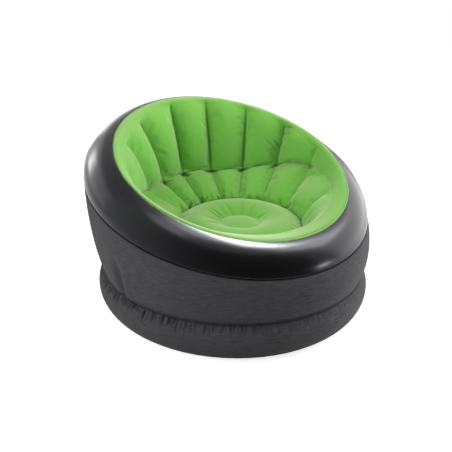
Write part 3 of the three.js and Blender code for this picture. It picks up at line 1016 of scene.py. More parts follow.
@dataclass
class Inflation:
    """Air that blows the panels up against their welds."""

    pressure: float = 4.0
    spare_share: float = 0.025
    frames: int = 20
    quality: int = 5
    mass: float = 0.3
    stiffness: float = 15.0
    shear: float = 5.0
    bending: float = 0.4
    most: float = 0.014
    most_inwards: float = 0.003

    def blow(self, panels: Sequence[Panel]) -> None:
        """Blows the panels up together, and lets no point move further than it may."""
        starts = [panel.film.places() for panel in panels]
        for panel in panels:
            self.ready(panel.film.object, panel.held)
        scene = bpy.context.scene
        scene.frame_start = 1
        scene.frame_end = self.frames
        for number in range(1, self.frames + 1):
            scene.frame_set(number)
        moved = [self.result(panel.film.object) for panel in panels]
        for panel, start, end in zip(panels, starts, moved):
            panel.film.object.modifiers.clear()
            panel.film.object.vertex_groups.clear()
            move = end - start
            out = panel.film.normals()
            outwards = np.sum(move * out, axis=1)
            move += out * (np.maximum(outwards, -self.most_inwards) - outwards)[:, None]
            length = np.linalg.norm(move, axis=1, keepdims=True) + 1e-9
            capped = move / length * self.most * np.tanh(length / self.most)
            panel.film.move(start + capped * panel.give[:, None])
            LOG.info("%s blown up, by up to %.1f mm", panel.node, 1000 * length.max())
        scene.frame_set(1)

    def ready(self, obj: Object, fixed: Values) -> None:
        """Puts a cloth on a film, held where it is welded."""
        group = obj.vertex_groups.new(name="welded")
        group.add([int(index) for index in np.flatnonzero(fixed)], 1, "REPLACE")
        cloth = obj.modifiers.new("air", "CLOTH")
        settings = cloth.settings
        settings.quality = self.quality
        settings.mass = self.mass
        settings.tension_stiffness = self.stiffness
        settings.compression_stiffness = self.stiffness
        settings.shear_stiffness = self.shear
        settings.bending_stiffness = self.bending
        settings.vertex_group_mass = group.name
        settings.use_pressure = True
        settings.uniform_pressure_force = self.pressure
        settings.shrink_min = -self.spare_share
        settings.effector_weights.gravity = 0
        cloth.collision_settings.use_self_collision = False
        cloth.point_cache.frame_start = 1
        cloth.point_cache.frame_end = self.frames

    def result(self, obj: Object) -> Values:
        """Where the cloth has moved the vertices."""
        return vectors(obj.evaluated_get(bpy.context.evaluated_depsgraph_get()).data, "co")


@dataclass(frozen=True)
class Channels:
    """How the channel lines run: their turn from an even spacing, and how deep they are.

    Each tuple has a value for each line, from the one at -180 degrees to the one at 180. The
    turns are in degrees, and the depths are shares of a full channel's depth.
    """

    top_turn: tuple[float, ...] = (3, 8, 7, 3, 0, 0, 0, 0, 0, 0, 0, 1, 3.5, 4, 4, 4.3, 3)
    crease_turn: tuple[float, ...] = (
        2.5, -1, -3.5, -2, 0, 0, 0, 0, 0, 0, -2, -5, 4.4, 4.6, 4, 3.8, 2.5,
    )
    ring_turn: tuple[float, ...] = (5, 2, 0, 0, 0, 0, 0, 0, 0, 0, -5, -13, -2.5, 2.6, 4.6, 1.7, 5)
    start: tuple[float, ...] = (
        0.2, 0.28, 0.32, 0.5, 0.5, 0.3, 0.3, 0.3, 0.3, 0.3, 0.3, 0.3, 0.38, 0.22, 0.18, 0.19, 0.2,
    )
    upper: tuple[float, ...] = (
        1.3, 1.2, 0.85, 0.5, 0.1, 0, 0, 0, 0, 0, 0, 0.1, 0.8, 1.25, 1.35, 1.35, 1.3,
    )
    lower: tuple[float, ...] = (
        1.1, 1, 0.4, 0.5, 0.5, 0.4, 0.25, 0.1, 0.1, 0.1, 0.35, 0.95, 1, 1, 1.1, 1.1, 1.1,
    )

    def turned(self, film: Film, start: Sequence[float], end: Sequence[float]) -> Values:
        """Where an even film's vertices are round the chair, by the turns of its two ends."""
        first, last = by_line(film.angle, start), by_line(film.angle, end)
        return film.angle + np.radians(first + (last - first) * film.share)


@dataclass
class Bowl:
    """The green bowl: the channelled backrest, the lower row of channels and the round seat."""

    welds: Welds
    air: Inflation = field(default_factory=Inflation)
    channels: Channels = Channels()
    gauge: float = 0.0006
    map_width: float = 0.3
    steps: int = 1024
    back_rows: int = 64
    seat_rows: int = 48
    round_steps: int = 384
    round_rows: int = 56
    channel_depth: float = 0.028
    seat_channel_depth: float = 0.022
    depth_share: float = 0.2
    roundness: float = 2.4
    shoulder_inset_share: float = 0.5
    shoulder_drop_share: float = 0.12
    crown_rise: float = 0.08
    crown_share: float = 0.17
    crown_crowding: float = 1.35
    crown_reach: float = 0.85
    fall_reach: float = 0.65
    foot_share: float = 0.28
    foot_fade: float = 0.04
    valley_share: float = 0.65
    valley_roundness: float = 2.0
    valley_fade: float = 0.12
    valley_lead: float = 0.3
    valley_top: float = 0.4
    valley_run: float = 0.35
    roll_share: float = 0.4
    free_share: float = 0.1
    free_run: float = 0.45
    rim_middle: float = -0.6
    rim_end: float = 1.15
    rim_fade: float = 0.5
    crease_reach: float = 0.35
    ring_reach: float = 0.4
    roll_crown: float = 0.6
    roll_channels: float = 0.5
    rise_run: float = 0.6
    pillow_roundness: float = 2.6
    pillow_lead: float = 0.25
    seat_crown: float = 0.03
    flat_crown: float = 0.02
    button_radius: float = 0.075
    button_crown: float = 0.014
    button_front_rise: float = 0.007
    button_slope: float = 0.8
    ring_share: float = 0.7
    ring_give: float = 0.7
    view_side: float = math.radians(-36)
    level_end: float = math.radians(26)
    line_width: float = 0.0024
    line_top: float = 0.35
    back_line_shade: float = 0.55
    seat_line_shade: float = 0.2
    rim_line: float = 0.004
    weld_line: float = 0.003
    weld_shade: float = 0.22
    pit_width: float = 0.009
    pit_shade: float = 0.65
    fold_shade: float = 0.3
    stray: float = 0.05
    crease_fade: float = 0.03
    seat_fade: float = 0.04
    edge_fade: float = 0.004
    hub_radius: float = 0.03
    corner: Gathers = Gathers(length=0.036, width=0.0042, depth=0.0068)
    ring: Gathers = Gathers(length=0.034, width=0.0044, depth=0.0066)
    back_headings: tuple[float, ...] = (92, 106, -106, -92)
    upper_headings: tuple[float, ...] = (28, 48, 68, -28, -48, -68)
    lower_headings: tuple[float, ...] = (158, 140, 122, -158, -140, -122)
    back_strength: float = 0.8
    beside: Gathers = Gathers(length=0.048, width=0.0042, depth=0.006)
    beside_line: float = 112.5
    beside_rows: tuple[tuple[float, float, float, int], ...] = (
        (-104, 0.28, 0.66, 6), (94, 0.74, 0.95, 4),
    )
    button_fold: Gathers = Gathers(length=0.07, width=0.006, depth=0.0035)
    edge_fold: Gathers = Gathers(length=0.045, width=0.005, depth=0.0035)
    button_folds: tuple[float, ...] = (-172, -158, -146, 165, 140, 118, 84, -120, -95)
    edge_folds: tuple[float, ...] = (30, 38, 60, 70, 76, 150, -165, -128)
    back_seed: int = 11
    seat_seed: int = 23
    round_seed: int = 31

    def build(self) -> None:
        """Makes the three panels, blows them up and gathers them at their welds."""
        panels = [self.backrest(), self.seat_row(), self.round_seat()]
        self.air.blow(panels)
        gathers = (self.gather_back, self.gather_seat, self.gather_round)
        for panel, gather in zip(panels, gathers):
            gather(panel.film)
            panel.film.unwrap(self.welds.waist_radius, self.map_width)
            panel.film.finish(FLOCK, self.gauge, panel.node)

    def depth_of(self, start: Values, end: Values, full: float) -> Values:
        """How deep the channels are: short ones at the front are shallow."""
        return np.minimum(full, self.depth_share * np.abs(end - start))

    def valley(self, angle: Values) -> Values:
        """How far a full channel has sunk: 0 at its middle and 1 on the channel line."""
        near = 1 - self.welds.from_line(angle)
        rounded = dome(near, self.valley_roundness)
        return (1 - self.valley_share) * near**2 + self.valley_share * rounded

    def lines(self) -> Values:
        """The angles of the channel lines in an even film."""
        return np.arange(self.welds.channels) * TURN / self.welds.channels - math.pi

    def meeting(self, angle: Values) -> Values:
        """Where the backrest meets the lower row: on a smooth roll, or down in the crease."""
        crease, ring = self.welds.crease(angle), self.welds.seat_ring(angle)
        across = ring - self.welds.rim(angle)
        depth = self.depth_of(crease, ring, self.seat_channel_depth)
        return crease - 1j * across / np.abs(across) * depth * self.welds.plain(angle)

    def fall(self, angle: Values) -> Values:
        """The way from the backrest's shoulder down to where it meets the lower row."""
        high, low = self.welds.rim(angle), self.meeting(angle)
        inset = self.shoulder_inset_share * (high.real - low.real)
        return low - high + inset + 1j * self.shoulder_drop_share * (high.imag - low.imag)

    def off_line(self, even: Values, radius: Values) -> Values:
        """How many metres a vertex is from the nearest channel line."""
        return self.welds.from_line(even) * radius * TURN / 2 / self.welds.channels

    def corner_shade(self, off_line: Values, to_weld: Values) -> Values:
        """Painted shade beside a weld, with a darker weld line, most in the pit where a channel line reaches
        it.
        """
        pit = close(off_line, self.pit_width) * close(to_weld, self.pit_width)
        return self.weld_shade * close(to_weld, self.weld_line) + self.pit_shade * pit

    def lay(self, film: Film, angle: Values, section: Values) -> Values:
        """Lays a channelled film, with its ends turned down.

        Args:
            film: The film.
            angle: Where its vertices really are round the chair.
            section: Where they are in the section.

        Returns:
            True on a channel line.
        """
        film.move(self.welds.place(angle, section - 1j * self.welds.weld_width * ~film.inside()))
        return self.welds.from_line(film.angle) < 1e-3

    def backrest(self) -> Panel:
        """The backrest panel, from the rim seam over the crown and down to the crease."""
        film = Film("backrest_skin", self.steps, self.back_rows)
        film.share = share = 1 - (1 - film.share) ** self.crown_crowding
        upper = by_line(film.angle, self.channels.upper)
        angle = self.channels.turned(film, self.channels.top_turn, self.channels.crease_turn)
        high = self.welds.rim(angle) - self.welds.gap / 2
        low = self.meeting(angle) + self.welds.gap / 2
        depth = self.depth_of(high, low, self.channel_depth)
        creased = 1 - self.welds.plain(angle)
        inset = self.shoulder_inset_share * (high.real - low.real)
        way = self.fall(angle)
        end = low - 1j * way / np.abs(way) * depth * creased
        over = high - self.crown_reach * inset + 1j * self.crown_rise * np.abs(way)
        under = end - self.fall_reach * way
        rest = 1 - share
        crest = bezier((high, over, under, end), share)
        slope = (over - high) * rest**2 + 2 * (under - over) * rest * share
        slope = slope + (end - under) * share**2
        down = np.clip((share - self.crown_share) / (1 - self.crown_share), 0, 1)
        foot = (down - 1) / self.foot_share + 1
        crest_sunk = creased * dome(foot, self.roundness)
        past = share - by_line(film.angle, self.channels.start)
        start = ease(past / self.valley_fade + self.valley_lead)
        deepening = np.clip(down / self.valley_run, 0, 1)
        valley_sunk = start * (self.valley_top + (1 - self.valley_top) * deepening)
        strength = upper * self.valley(film.angle) * ease((1 - down) / self.foot_fade)
        rolled = (1 - creased) * ease((down - 1) / self.roll_share + 1)
        strength = strength * (1 - rolled)
        sunk = crest_sunk + (valley_sunk - crest_sunk) * strength
        section = crest + 1j * slope / np.abs(slope) * depth * sunk
        on_line = self.lay(film, angle, section)
        held = (on_line & (down > self.free_share)) | (share <= 0) | (share >= 1)
        off_line = self.off_line(film.angle, section.real)
        # Darker channel weld lines with painted shade in their valleys, a painted dark line at the rim seam
        # towards the front left, and painted shade in the pits by the crease
        long = np.abs(low - high)
        line = self.back_line_shade * close(off_line, self.line_width) * start * upper
        line = line * (self.line_top + (1 - self.line_top) * down)
        off_view = np.abs(angle - self.rim_middle)
        rim = close(share * long, self.rim_line) * ease((self.rim_end - off_view) / self.rim_fade)
        film.darken(line + rim + self.corner_shade(off_line, rest * long) * creased)
        give = ease(down / self.free_run) * np.minimum(upper, 1)
        return Panel(film, held, give, "backrest_panel")

    def seat_row(self) -> Panel:
        """The lower row of channels, from the crease to the round seat."""
        film = Film("seat_row_skin", self.steps, self.seat_rows)
        share = film.share
        lower = by_line(film.angle, self.channels.lower)
        angle = self.channels.turned(film, self.channels.crease_turn, self.channels.ring_turn)
        high = self.meeting(angle) - self.welds.gap / 2
        low = self.welds.joint(angle) + 2 * self.welds.gap
        long = np.abs(low - high)
        depth = self.depth_of(high, low, self.seat_channel_depth)
        inward = -1j * (low - high) / long
        plain, flat = self.welds.plain(angle), self.welds.flat(angle)
        fallen = dome((share - 1) / self.ring_share + 1, self.roundness)
        rise = ease(share / self.rise_run) * (1 - fallen)
        full = 1 - dome(np.abs(2 * share - 1), self.pillow_roundness)
        full = full + (rise - full) * plain
        strength = lower * self.valley(film.angle)
        strength = strength * (1 - plain * (1 - ease(share / self.pillow_lead)))
        way = self.fall(angle)
        leaving = long * way / np.abs(way)
        pillow = high + share * (low - high) + inward * depth * full * (1 - strength)
        pillow += (leaving - (low - high)) * plain * share * (1 - share) ** 2
        aside = ease((np.abs(angle) - self.level_end) / self.level_end)
        coming = low + self.ring_reach * (long * (1 - aside) + (high - low) * aside)
        roll = bezier((high, high + self.crease_reach * leaving, coming, low), share)
        crown = self.roll_crown * aside * rise * (1 - self.roll_channels * strength)
        roll = roll + inward * depth * crown
        section = pillow + (roll - pillow) * flat
        held = self.lay(film, angle, section) | (share <= 0) | (share >= 1)
        off_line = self.off_line(film.angle, section.real)
        # Darker channel weld lines with painted shade in their valleys, and painted shade beside the crease
        # and ring welds and in their pits
        film.darken(self.seat_line_shade * close(off_line, self.line_width) * lower**2
                   + self.corner_shade(off_line, share * long) * (1 - plain)
                   + self.corner_shade(off_line, (1 - share) * long) * (1 - flat))
        return Panel(film, held, np.minimum(lower, 1) ** 2, "seat_panel")

    def round_seat(self) -> Panel:
        """The round seat: a soft ring round a button."""
        film = Film("round_seat_skin", self.round_steps, self.round_rows)
        radius, forward = self.welds.seat_size()
        height = self.welds.waist_height + self.welds.seat_rise
        flat = self.welds.flat(film.angle)
        edge = radius - 2 * self.welds.gap + 1j * (height + self.welds.ring_lift * flat)
        front = np.cos(film.angle - self.view_side)
        rise = self.button_front_rise * ease(1 + (front - 1) * self.button_slope)
        button = self.button_radius + 1j * (height + rise)
        out = np.clip(film.share / self.ring_share, 0, 1)
        inner = np.clip((film.share - self.ring_share) / (1 - self.ring_share), 0, 1)
        one = np.ones_like(out)
        top = 1j * (height + self.button_crown)
        ring_top = arc(edge, button, self.seat_crown * one, out)
        flat_top = edge + (button - edge).real * out + 1j * (button - edge).imag * ease(out)
        flat_top = flat_top + 1j * self.flat_crown * np.sin(math.pi * out) ** 2
        section = np.where(
            film.share < self.ring_share,
            ring_top + (flat_top - ring_top) * flat * (1 - ease(out)),
            button + (top - button) * inner
            + 1j * (self.button_crown - rise) * (inner * (1 - inner)),
        )
        section -= 1j * self.welds.weld_width * film.before
        ring = self.welds.place(film.angle, self.welds.seat_ring(film.angle))
        centre = np.array([0, self.welds.hub - forward, 0])
        places = centre + (ring - centre) * (section.real / radius)[:, None]
        places[:, 2] = section.imag
        film.move(places)
        # Painted shade beside the ring weld, with a darker weld line
        film.darken(self.corner_shade(one, radius - section.real) * (1 - flat))
        on_ring = np.abs(film.share - self.ring_share) < 0.5 / self.round_rows
        held = (film.share <= 0) | on_ring
        kept = ~film.after
        film.keep(kept)
        return Panel(film, held[kept], self.ring_give * one[kept], "seat_centre_panel")

    def fold(self, film: Film, sunk: Values, full: float, inside: Values) -> None:
        """Sinks the folds into a panel and shades them.

        Args:
            film: The panel's film.
            sunk: How deep the folds are at each vertex.
            full: The depth that has the full shade.
            inside: 1 on the film, falling to 0 at its weld.
        """
        # Painted shade in the folds, deeper where they sink further
        film.darken(self.fold_shade * sunk / full)
        film.swell(-sunk * film.inside() * inside)

    def gather_back(self, film: Film) -> None:
        """Small folds in the backrest's lower corners, and beside one of its lines."""
        draw = np.random.default_rng(self.back_seed)
        rim, crease = self.welds.rim, self.welds.crease
        along = film.share * np.abs(rim(film.angle) - crease(film.angle))
        sunk = np.zeros_like(film.angle)
        for line in self.lines():
            length = float(np.abs(rim(line) - crease(line)))
            strength = self.back_strength * float(by_line(line, self.channels.upper))
            headings = draw.choice(self.back_headings, 2, replace=False)
            folds = self.corner.fan(draw, line, length, headings, strength)
            if abs(math.degrees(line) - self.beside_line) < 1:
                for heading, lowest, highest, count in self.beside_rows:
                    for height in length * np.linspace(lowest, highest, count):
                        folds += self.beside.fan(draw, line, height, [heading], strength)
            sunk += sunk_by(folds, film.angle, float(crease(line).real), along)
        self.fold(film, sunk, self.corner.depth, ease((1 - film.share) / self.crease_fade))

    def gather_seat(self, film: Film) -> None:
        """Small folds at both ends of each lower channel."""
        draw = np.random.default_rng(self.seat_seed)
        crease, ring = self.welds.crease, self.welds.seat_ring
        folds = []
        for line in self.lines():
            length = float(np.abs(crease(line) - ring(line)))
            strength = float(by_line(line, self.channels.lower)) ** 2
            creased = strength * (1 - float(self.welds.plain(line)))
            upper = draw.choice(self.upper_headings, 4, replace=False)
            lower = draw.choice(self.lower_headings, 4, replace=False)
            folds += self.corner.fan(draw, line, 0, upper, creased)
            folds += self.ring.fan(draw, line, length, lower, strength)
            between = line + TURN / 2 / self.welds.channels + draw.normal(0, self.stray)
            folds += self.ring.fan(draw, between, length, [BACKWARDS], strength)
        high, low = crease(film.angle), ring(film.angle)
        radius = high.real + film.share * (low.real - high.real)
        sunk = sunk_by(folds, film.angle, radius, film.share * np.abs(high - low))
        self.fold(film, sunk, self.ring.depth, ease(film.share / self.seat_fade))

    def gather_round(self, film: Film) -> None:
        """Radial folds round the button, and a few from the edge."""
        draw = np.random.default_rng(self.round_seed)
        radius, forward = self.welds.seat_size()
        x, y, _ = film.places().T
        y = y - self.welds.hub + forward
        out = np.hypot(x, y)
        folds = []
        for angle in np.radians(self.button_folds):
            folds += self.button_fold.fan(draw, angle, -self.button_radius, [BACKWARDS])
        for angle in np.radians(self.edge_folds):
            folds += self.edge_fold.fan(draw, angle, -radius, [ONWARDS])
        sunk = sunk_by(folds, np.arctan2(x, -y), np.maximum(out, self.hub_radius), -out)
        self.fold(film, sunk, self.button_fold.depth, ease((radius - out) / self.edge_fade))


@dataclass
class Valve:
    """The two-stage air valve low at the back: neck, plug, flap, cap and their straps."""

    place: Matrix
    steps: int = 64
    flange_radius: float = 0.025
    flange_thickness: float = 0.0014
    neck_radius: float = 0.018
    neck_wall: float = 0.002
    neck_depth: float = 0.016
    collar_radius: float = 0.021
    collar_height: float = 0.005
    gap: float = 0.0003
    plug_clearance: float = 0.0006
    plug_depth: float = 0.006
    lip_radius: float = 0.020
    lip_thickness: float = 0.0025
    port_radius: float = 0.0075
    flap_overlap: float = 0.003
    flap_thickness: float = 0.0008
    cap_radius: float = 0.0115
    cap_thickness: float = 0.0025
    stub_length: float = 0.006
    stub_radius: float = 0.007
    stub_taper: float = 0.001
    strap_width: float = 0.007
    strap_thickness: float = 0.0009
    strap_reach: float = 0.0035
    edge: float = 0.0004
    sharp_angle: float = math.radians(40)

    def build(self) -> None:
        """Makes the valve's pieces."""
        flange = self.gap + self.flange_thickness
        lip = self.collar_height + self.gap
        lip_top = lip + self.lip_thickness
        cap = lip_top + self.gap
        bore = self.neck_radius - self.neck_wall
        self.turned(
            "valve_neck_and_flange", "valve_body", "chair", bore,
            (self.neck_radius, self.flange_radius, self.collar_radius),
            (-self.neck_depth, self.gap, flange, self.collar_height),
        )
        self.turned(
            "wide_plug", "deflate_plug", "plug", self.port_radius,
            (bore - self.plug_clearance, self.lip_radius), (-self.plug_depth, lip, lip_top),
        )
        flap = -self.plug_depth - self.gap
        self.turned(
            "flap_disc", "check_flap", "flap", 0,
            (self.port_radius + self.flap_overlap,), (flap - self.flap_thickness, flap),
        )
        self.turned(
            "small_cap", "inflate_cap", "cap", 0, (self.stub_radius, self.cap_radius),
            (cap - self.stub_length, cap, cap + self.cap_thickness), self.stub_taper,
        )
        level = lip + self.strap_thickness
        outside = -self.lip_radius - self.strap_reach
        self.strap("plug_tether", "plug_strap", "chair", "plug", (
            (-self.lip_radius - self.gap, level), (outside + self.strap_thickness, level),
            (outside, lip), (outside, flange + self.gap),
        ))
        self.strap("cap_link", "cap_strap", "plug", "cap", (
            (self.cap_radius + self.gap, cap), (self.lip_radius, cap),
        ))

    def turned(
        self, name: str, node: str, body: str, inner: float,
        radii: Sequence[float], levels: Sequence[float], taper: float = 0.0,
    ) -> None:
        """A round piece with softened edges, made of steps one over the other.

        Args:
            name: The piece's name.
            node: The CAD node that it stands for.
            body: The body that it moves with.
            inner: The radius of its hole, or 0.
            radii: The radius of each step, from the inside of the chair outwards.
            levels: The heights over the wall between which the steps lie.
            taper: How much narrower the first step is at its end.
        """
        outline = [(inner, levels[0])]
        for radius, low, high in zip(radii, levels, levels[1:]):
            outline += [(radius, low), (radius, high)]
        outline[1] = (radii[0] - taper, levels[0])
        outline.append((inner, levels[-1]))
        shape = bmesh.new()
        corners = [shape.verts.new((radius, 0, height)) for radius, height in outline]
        pairs = list(zip(corners, corners[1:]))
        if inner:
            pairs.append((corners[-1], corners[0]))
        sides = [shape.edges.new(pair) for pair in pairs]
        bmesh.ops.spin(
            shape, geom=corners + sides, cent=(0, 0, 0), axis=(0, 0, 1),
            angle=TURN, steps=self.steps, use_merge=True,
        )
        bmesh.ops.remove_doubles(shape, verts=shape.verts[:], dist=1e-6)
        bmesh.ops.recalc_face_normals(shape, faces=shape.faces[:])
        sharp = [
            side for side in shape.edges
            if len(side.link_faces) == 2 and side.calc_face_angle(0) > self.sharp_angle
        ]
        bmesh.ops.bevel(
            shape, geom=sharp, offset=self.edge, segments=2, affect="EDGES",
            profile=0.5, material=-1,
        )
        bmesh.ops.transform(shape, matrix=self.place, verts=shape.verts[:])
        dressed(made(name, shape), VALVE, body, node)

    def strap(
        self, name: str, node: str, first: str, second: str, path: Sequence[tuple[float, float]]
    ) -> None:
        """A flat strap that bends from one body to another.

        Args:
            name: The strap's name.
            node: The CAD node that it stands for.
            first: The body that its end stays with.
            second: The body that its start moves with.
            path: Its lower face's way through the valve's upright section.
        """
        shape = bmesh.new()
        rail = [shape.verts.new((-self.strap_width / 2, y, z)) for y, z in path]
        sides = [shape.edges.new(pair) for pair in zip(rail, rail[1:])]
        wide = bmesh.ops.extrude_edge_only(shape, edges=sides)["geom"]
        far = [item for item in wide if isinstance(item, bmesh.types.BMVert)]
        bmesh.ops.translate(shape, verts=far, vec=(self.strap_width, 0, 0))
        bmesh.ops.recalc_face_normals(shape, faces=shape.faces[:])
        bmesh.ops.solidify(shape, geom=shape.faces[:], thickness=self.strap_thickness)
        bmesh.ops.recalc_face_normals(shape, faces=shape.faces[:])
        bmesh.ops.transform(shape, matrix=self.place, verts=shape.verts[:])
        piece = dressed(made(name, shape), VALVE, None, node)
        start, end = (self.place @ Vector((0, *point)) for point in (path[-1], path[0]))
        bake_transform(piece, first, second, start, end)


def valve_place() -> Matrix:
    """The valve's place, read from its CAD neck: Z outwards, and Y up the wall."""
    joints = {joint["name"]: joint for joint in frame["record"]["behaviour"]["joints"]}
    outward = Vector(joints["plug_pull"]["axis"]).normalized()
    across = Vector((0, 0, 1)).cross(outward).normalized()
    points = [Vector(vertex.co) for vertex in frame["nodes"]["valve_body"].data.vertices]
    middle = sum(points, Vector()) / len(points)
    top = max((point - middle).dot(outward) for point in points)
    centre = middle + outward * (top - Valve.collar_height)
    turn = Matrix((across, outward.cross(across), outward)).transposed().to_4x4()
    return Matrix.Translation(centre) @ turn


@dataclass(frozen=True)
class Insides:
    """The films inside the chair and its bottom sheet, which keep their CAD shape."""

    looks: tuple[Finish, ...] = (INNER, BASE)

    def dress(self) -> None:
        """Gives each CAD node that still shows its finish."""
        looks = {look.slot.value: look for look in self.looks}
        for subpart in frame["record"]["subparts"]:
            look = looks.get(subpart["material_slot"])
            if look:
                for socket in frame["nodes"][subpart["node"]].material_slots:
                    socket.link = "OBJECT"
                    socket.material = look.material()


def towards(azimuth: float, elevation: float) -> Vector:
    """The way to a compass angle and a height angle, in degrees."""
    turn, rise = math.radians(azimuth), math.radians(elevation)
    flat = math.cos(rise)
    return Vector((math.sin(turn) * flat, -math.cos(turn) * flat, math.sin(rise)))


@dataclass(frozen=True)
class Lamp:
    """A soft box that hangs at a compass angle and a height angle from the chair.

    Its power is given as radiance, which is what a mirror would show of it.
    """

    name: str
    angle: float
    elevation: float
    size: tuple[float, float]
    radiance: float
    distance: float = 3.0
    lights: bool = True
    shows: bool = True

    def hang(self, aim: Vector) -> None:
        """Adds the lamp, turned to what it aims at."""
        away = towards(self.angle, self.elevation)
        data = bpy.data.lights.new(self.name, "AREA")
        data.shape = "RECTANGLE"
        data.size, data.size_y = self.size
        data.energy = self.radiance * math.pi * math.prod(self.size)
        lamp = bpy.data.objects.new(self.name, data)
        lamp.location = aim + away * self.distance
        lamp.rotation_mode = "QUATERNION"
        lamp.rotation_quaternion = (-away).to_track_quat("-Z", "Y")
        lamp.visible_camera = False
        lamp.visible_diffuse = self.lights
        lamp.visible_glossy = self.shows
        bpy.context.scene.collection.objects.link(lamp)


LAMPS = (
    Lamp("right_key", 68, 50, (1.3, 1.3), 9.4),
    Lamp("left_fill", -98, 34, (1.8, 1.8), 5.0, shows=False),
    Lamp("left_low", -115, 9, (2.0, 0.7), 2.6, shows=False),
    Lamp("right_low", 72, 9, (2.4, 0.9), 14.0, shows=False),
    Lamp("top_strip", 100, 70, (1.5, 1.0), 60.0, lights=False),
    Lamp("right_wall", 80, 18, (3.4, 2.6), 2.8, lights=False),
    Lamp("back_wall", 150, 10, (3.4, 1.6), 4.5, lights=False),
    Lamp("left_wall", -148, 18, (2.6, 1.8), 1.2, lights=False),
    Lamp("left_strip", -160, 15, (0.5, 1.0), 7.5, lights=False),
    Lamp("top_middle", 0, 86, (1.0, 0.8), 10.0, lights=False),
    Lamp("top_left", -75, 68, (0.9, 0.9), 5.0, lights=False),
    Lamp("low_spot", 36, -3, (0.5, 0.45), 17.0, lights=False),
)


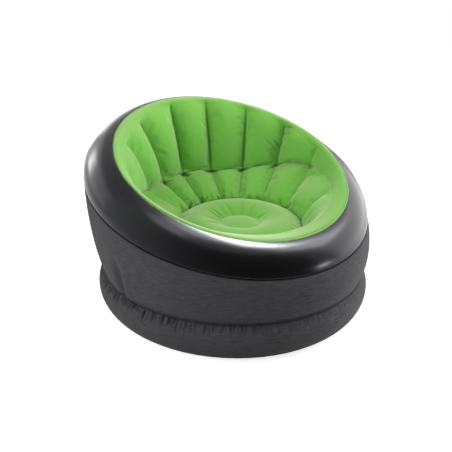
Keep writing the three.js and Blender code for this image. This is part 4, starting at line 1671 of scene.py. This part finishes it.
@dataclass
class Studio:
    """The pale floor, the soft light and the camera of the photograph."""

    hub: float
    picture: int = 452
    focal_pixels: float = 779
    centre_offset: tuple[float, float] = (8.55, -9.8)
    azimuth: float = -36.2
    elevation: float = 23.1
    roll: float = math.radians(1.6)
    distance: float = 3.0
    aim_height: float = 0.33
    floor_size: float = 25.0
    floor_drop: float = 0.0004
    floor_grey: float = 0.6
    floor_glow: float = 0.76
    ambient: float = 0.42
    flag_radius: float = 1.15
    flag_height: float = 1.7
    flag_steps: int = 24
    flag_ends: tuple[float, float] = (-112, 22)
    flag_turn: float = math.radians(20)
    flag_grey: float = 1.3
    flag_black: float = 0.15

    def build(self) -> None:
        """Makes the camera, the floor, the world, the lamps and the dark card."""
        aim = Vector((0, self.hub, self.aim_height))
        self.camera(aim)
        self.floor()
        self.world()
        self.flag()
        for lamp in LAMPS:
            lamp.hang(aim)

    def camera(self, aim: Vector) -> None:
        """The camera, from the front left and above."""
        data = bpy.data.cameras.new("camera")
        data.lens = self.focal_pixels / self.picture * data.sensor_width
        data.shift_x = -self.centre_offset[0] / self.picture
        data.shift_y = self.centre_offset[1] / self.picture
        camera = bpy.data.objects.new("camera", data)
        back = towards(self.azimuth, self.elevation)
        right = towards(self.azimuth + 90, 0)
        up = back.cross(right)
        side = right * math.cos(self.roll) + up * math.sin(self.roll)
        turn = Matrix((side, back.cross(side), back)).transposed().to_4x4()
        camera.matrix_world = Matrix.Translation(aim + back * self.distance) @ turn
        bpy.context.scene.collection.objects.link(camera)
        bpy.context.scene.camera = camera

    def seen(self, shader: Shader) -> Number:
        """1 for rays that show the background, straight, in gloss or through glass."""
        path = shader.node("ShaderNodeLightPath", {}, {}).outputs
        camera = Number(shader, path["Is Camera Ray"])
        return camera.largest(path["Is Glossy Ray"]).largest(path["Is Transmission Ray"])

    def glow(self, name: str) -> tuple[Material, Shader, Node]:
        """A material that is nothing but a glow: the material, its shader and the glow."""
        material = bpy.data.materials.new(name)
        material.use_nodes = True
        nodes = material.node_tree.nodes
        nodes.remove(nodes["Principled BSDF"])
        shader = Shader(material.node_tree)
        glow = shader.node("ShaderNodeEmission", {}, {})
        shader.feed(nodes["Material Output"].inputs["Surface"], glow.outputs[0])
        return material, shader, glow

    def floor(self) -> None:
        """A pale floor that looks white and keeps the chair's shadow."""
        shape = bmesh.new()
        bmesh.ops.create_grid(shape, x_segments=1, y_segments=1, size=self.floor_size)
        bmesh.ops.translate(shape, verts=shape.verts[:], vec=(0, 0, -self.floor_drop))
        floor = made("studio_floor", shape)
        material, shader, glow = self.glow("studio_paper")
        shader.feed(glow.inputs["Strength"], self.seen(shader) * self.floor_glow)
        grey = (self.floor_grey,) * 3
        paper = shader.node("ShaderNodeBsdfDiffuse", {}, {"Color": grey}).outputs[0]
        both = shader.node("ShaderNodeAddShader", {}, {0: paper, 1: glow.outputs[0]})
        output = material.node_tree.nodes["Material Output"]
        shader.feed(output.inputs["Surface"], both.outputs[0])
        floor.data.materials.append(material)

    def world(self) -> None:
        """A white surround, softer as a light than it looks."""
        world = bpy.data.worlds.new("surround")
        bpy.context.scene.world = world
        world.use_nodes = True
        shader = Shader(world.node_tree)
        surround = world.node_tree.nodes["Background"].inputs
        shader.feed(surround["Color"], (1.0, 1.0, 1.0))
        shader.feed(surround["Strength"], self.seen(shader) * (1 - self.ambient) + self.ambient)

    def flag(self) -> None:
        """A curved dark card in front of the chair, paler to the left, that only gloss shows."""
        shape = bmesh.new()
        ends = [shape.verts.new((0, -self.flag_radius, height)) for height in (0, self.flag_height)]
        side = shape.edges.new(ends)
        first, last = (math.radians(end) for end in self.flag_ends)
        turn = Matrix.Rotation(first, 3, "Z")
        bmesh.ops.rotate(shape, verts=ends, cent=(0, 0, 0), matrix=turn)
        bmesh.ops.spin(
            shape, geom=[*ends, side], cent=(0, 0, 0), axis=(0, 0, 1),
            angle=last - first, steps=self.flag_steps,
        )
        bmesh.ops.translate(shape, verts=shape.verts[:], vec=(0, self.hub, 0))
        card = made("studio_flag", shape)
        material, shader, glow = self.glow("flag_grey")
        across, along, _ = shader.split(shader.coordinates("Object"))
        left = across * (-math.cos(self.flag_turn) / self.flag_radius)
        left = (left + along * (math.sin(self.flag_turn) / self.flag_radius)).largest(0)
        shader.feed(glow.inputs["Strength"], left * left * left * self.flag_grey + self.flag_black)
        card.data.materials.append(material)
        card.visible_camera = False
        card.visible_diffuse = False
        card.visible_shadow = False
        card.visible_transmission = False


def main() -> None:
    """Builds the chair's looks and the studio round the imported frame."""
    logging.basicConfig(level=logging.INFO, format="%(message)s")
    bpy.context.scene.view_settings.view_transform = "Standard"
    low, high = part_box("base_wall")
    welds = Welds(hub=(low[1] + high[1]) / 2)
    place = valve_place()
    Wall(welds).build(place)
    Bowl(welds).build()
    Valve(place).build()
    Insides().dress()
    Studio(welds.hub).build()


if __name__ == "__main__":
    main()
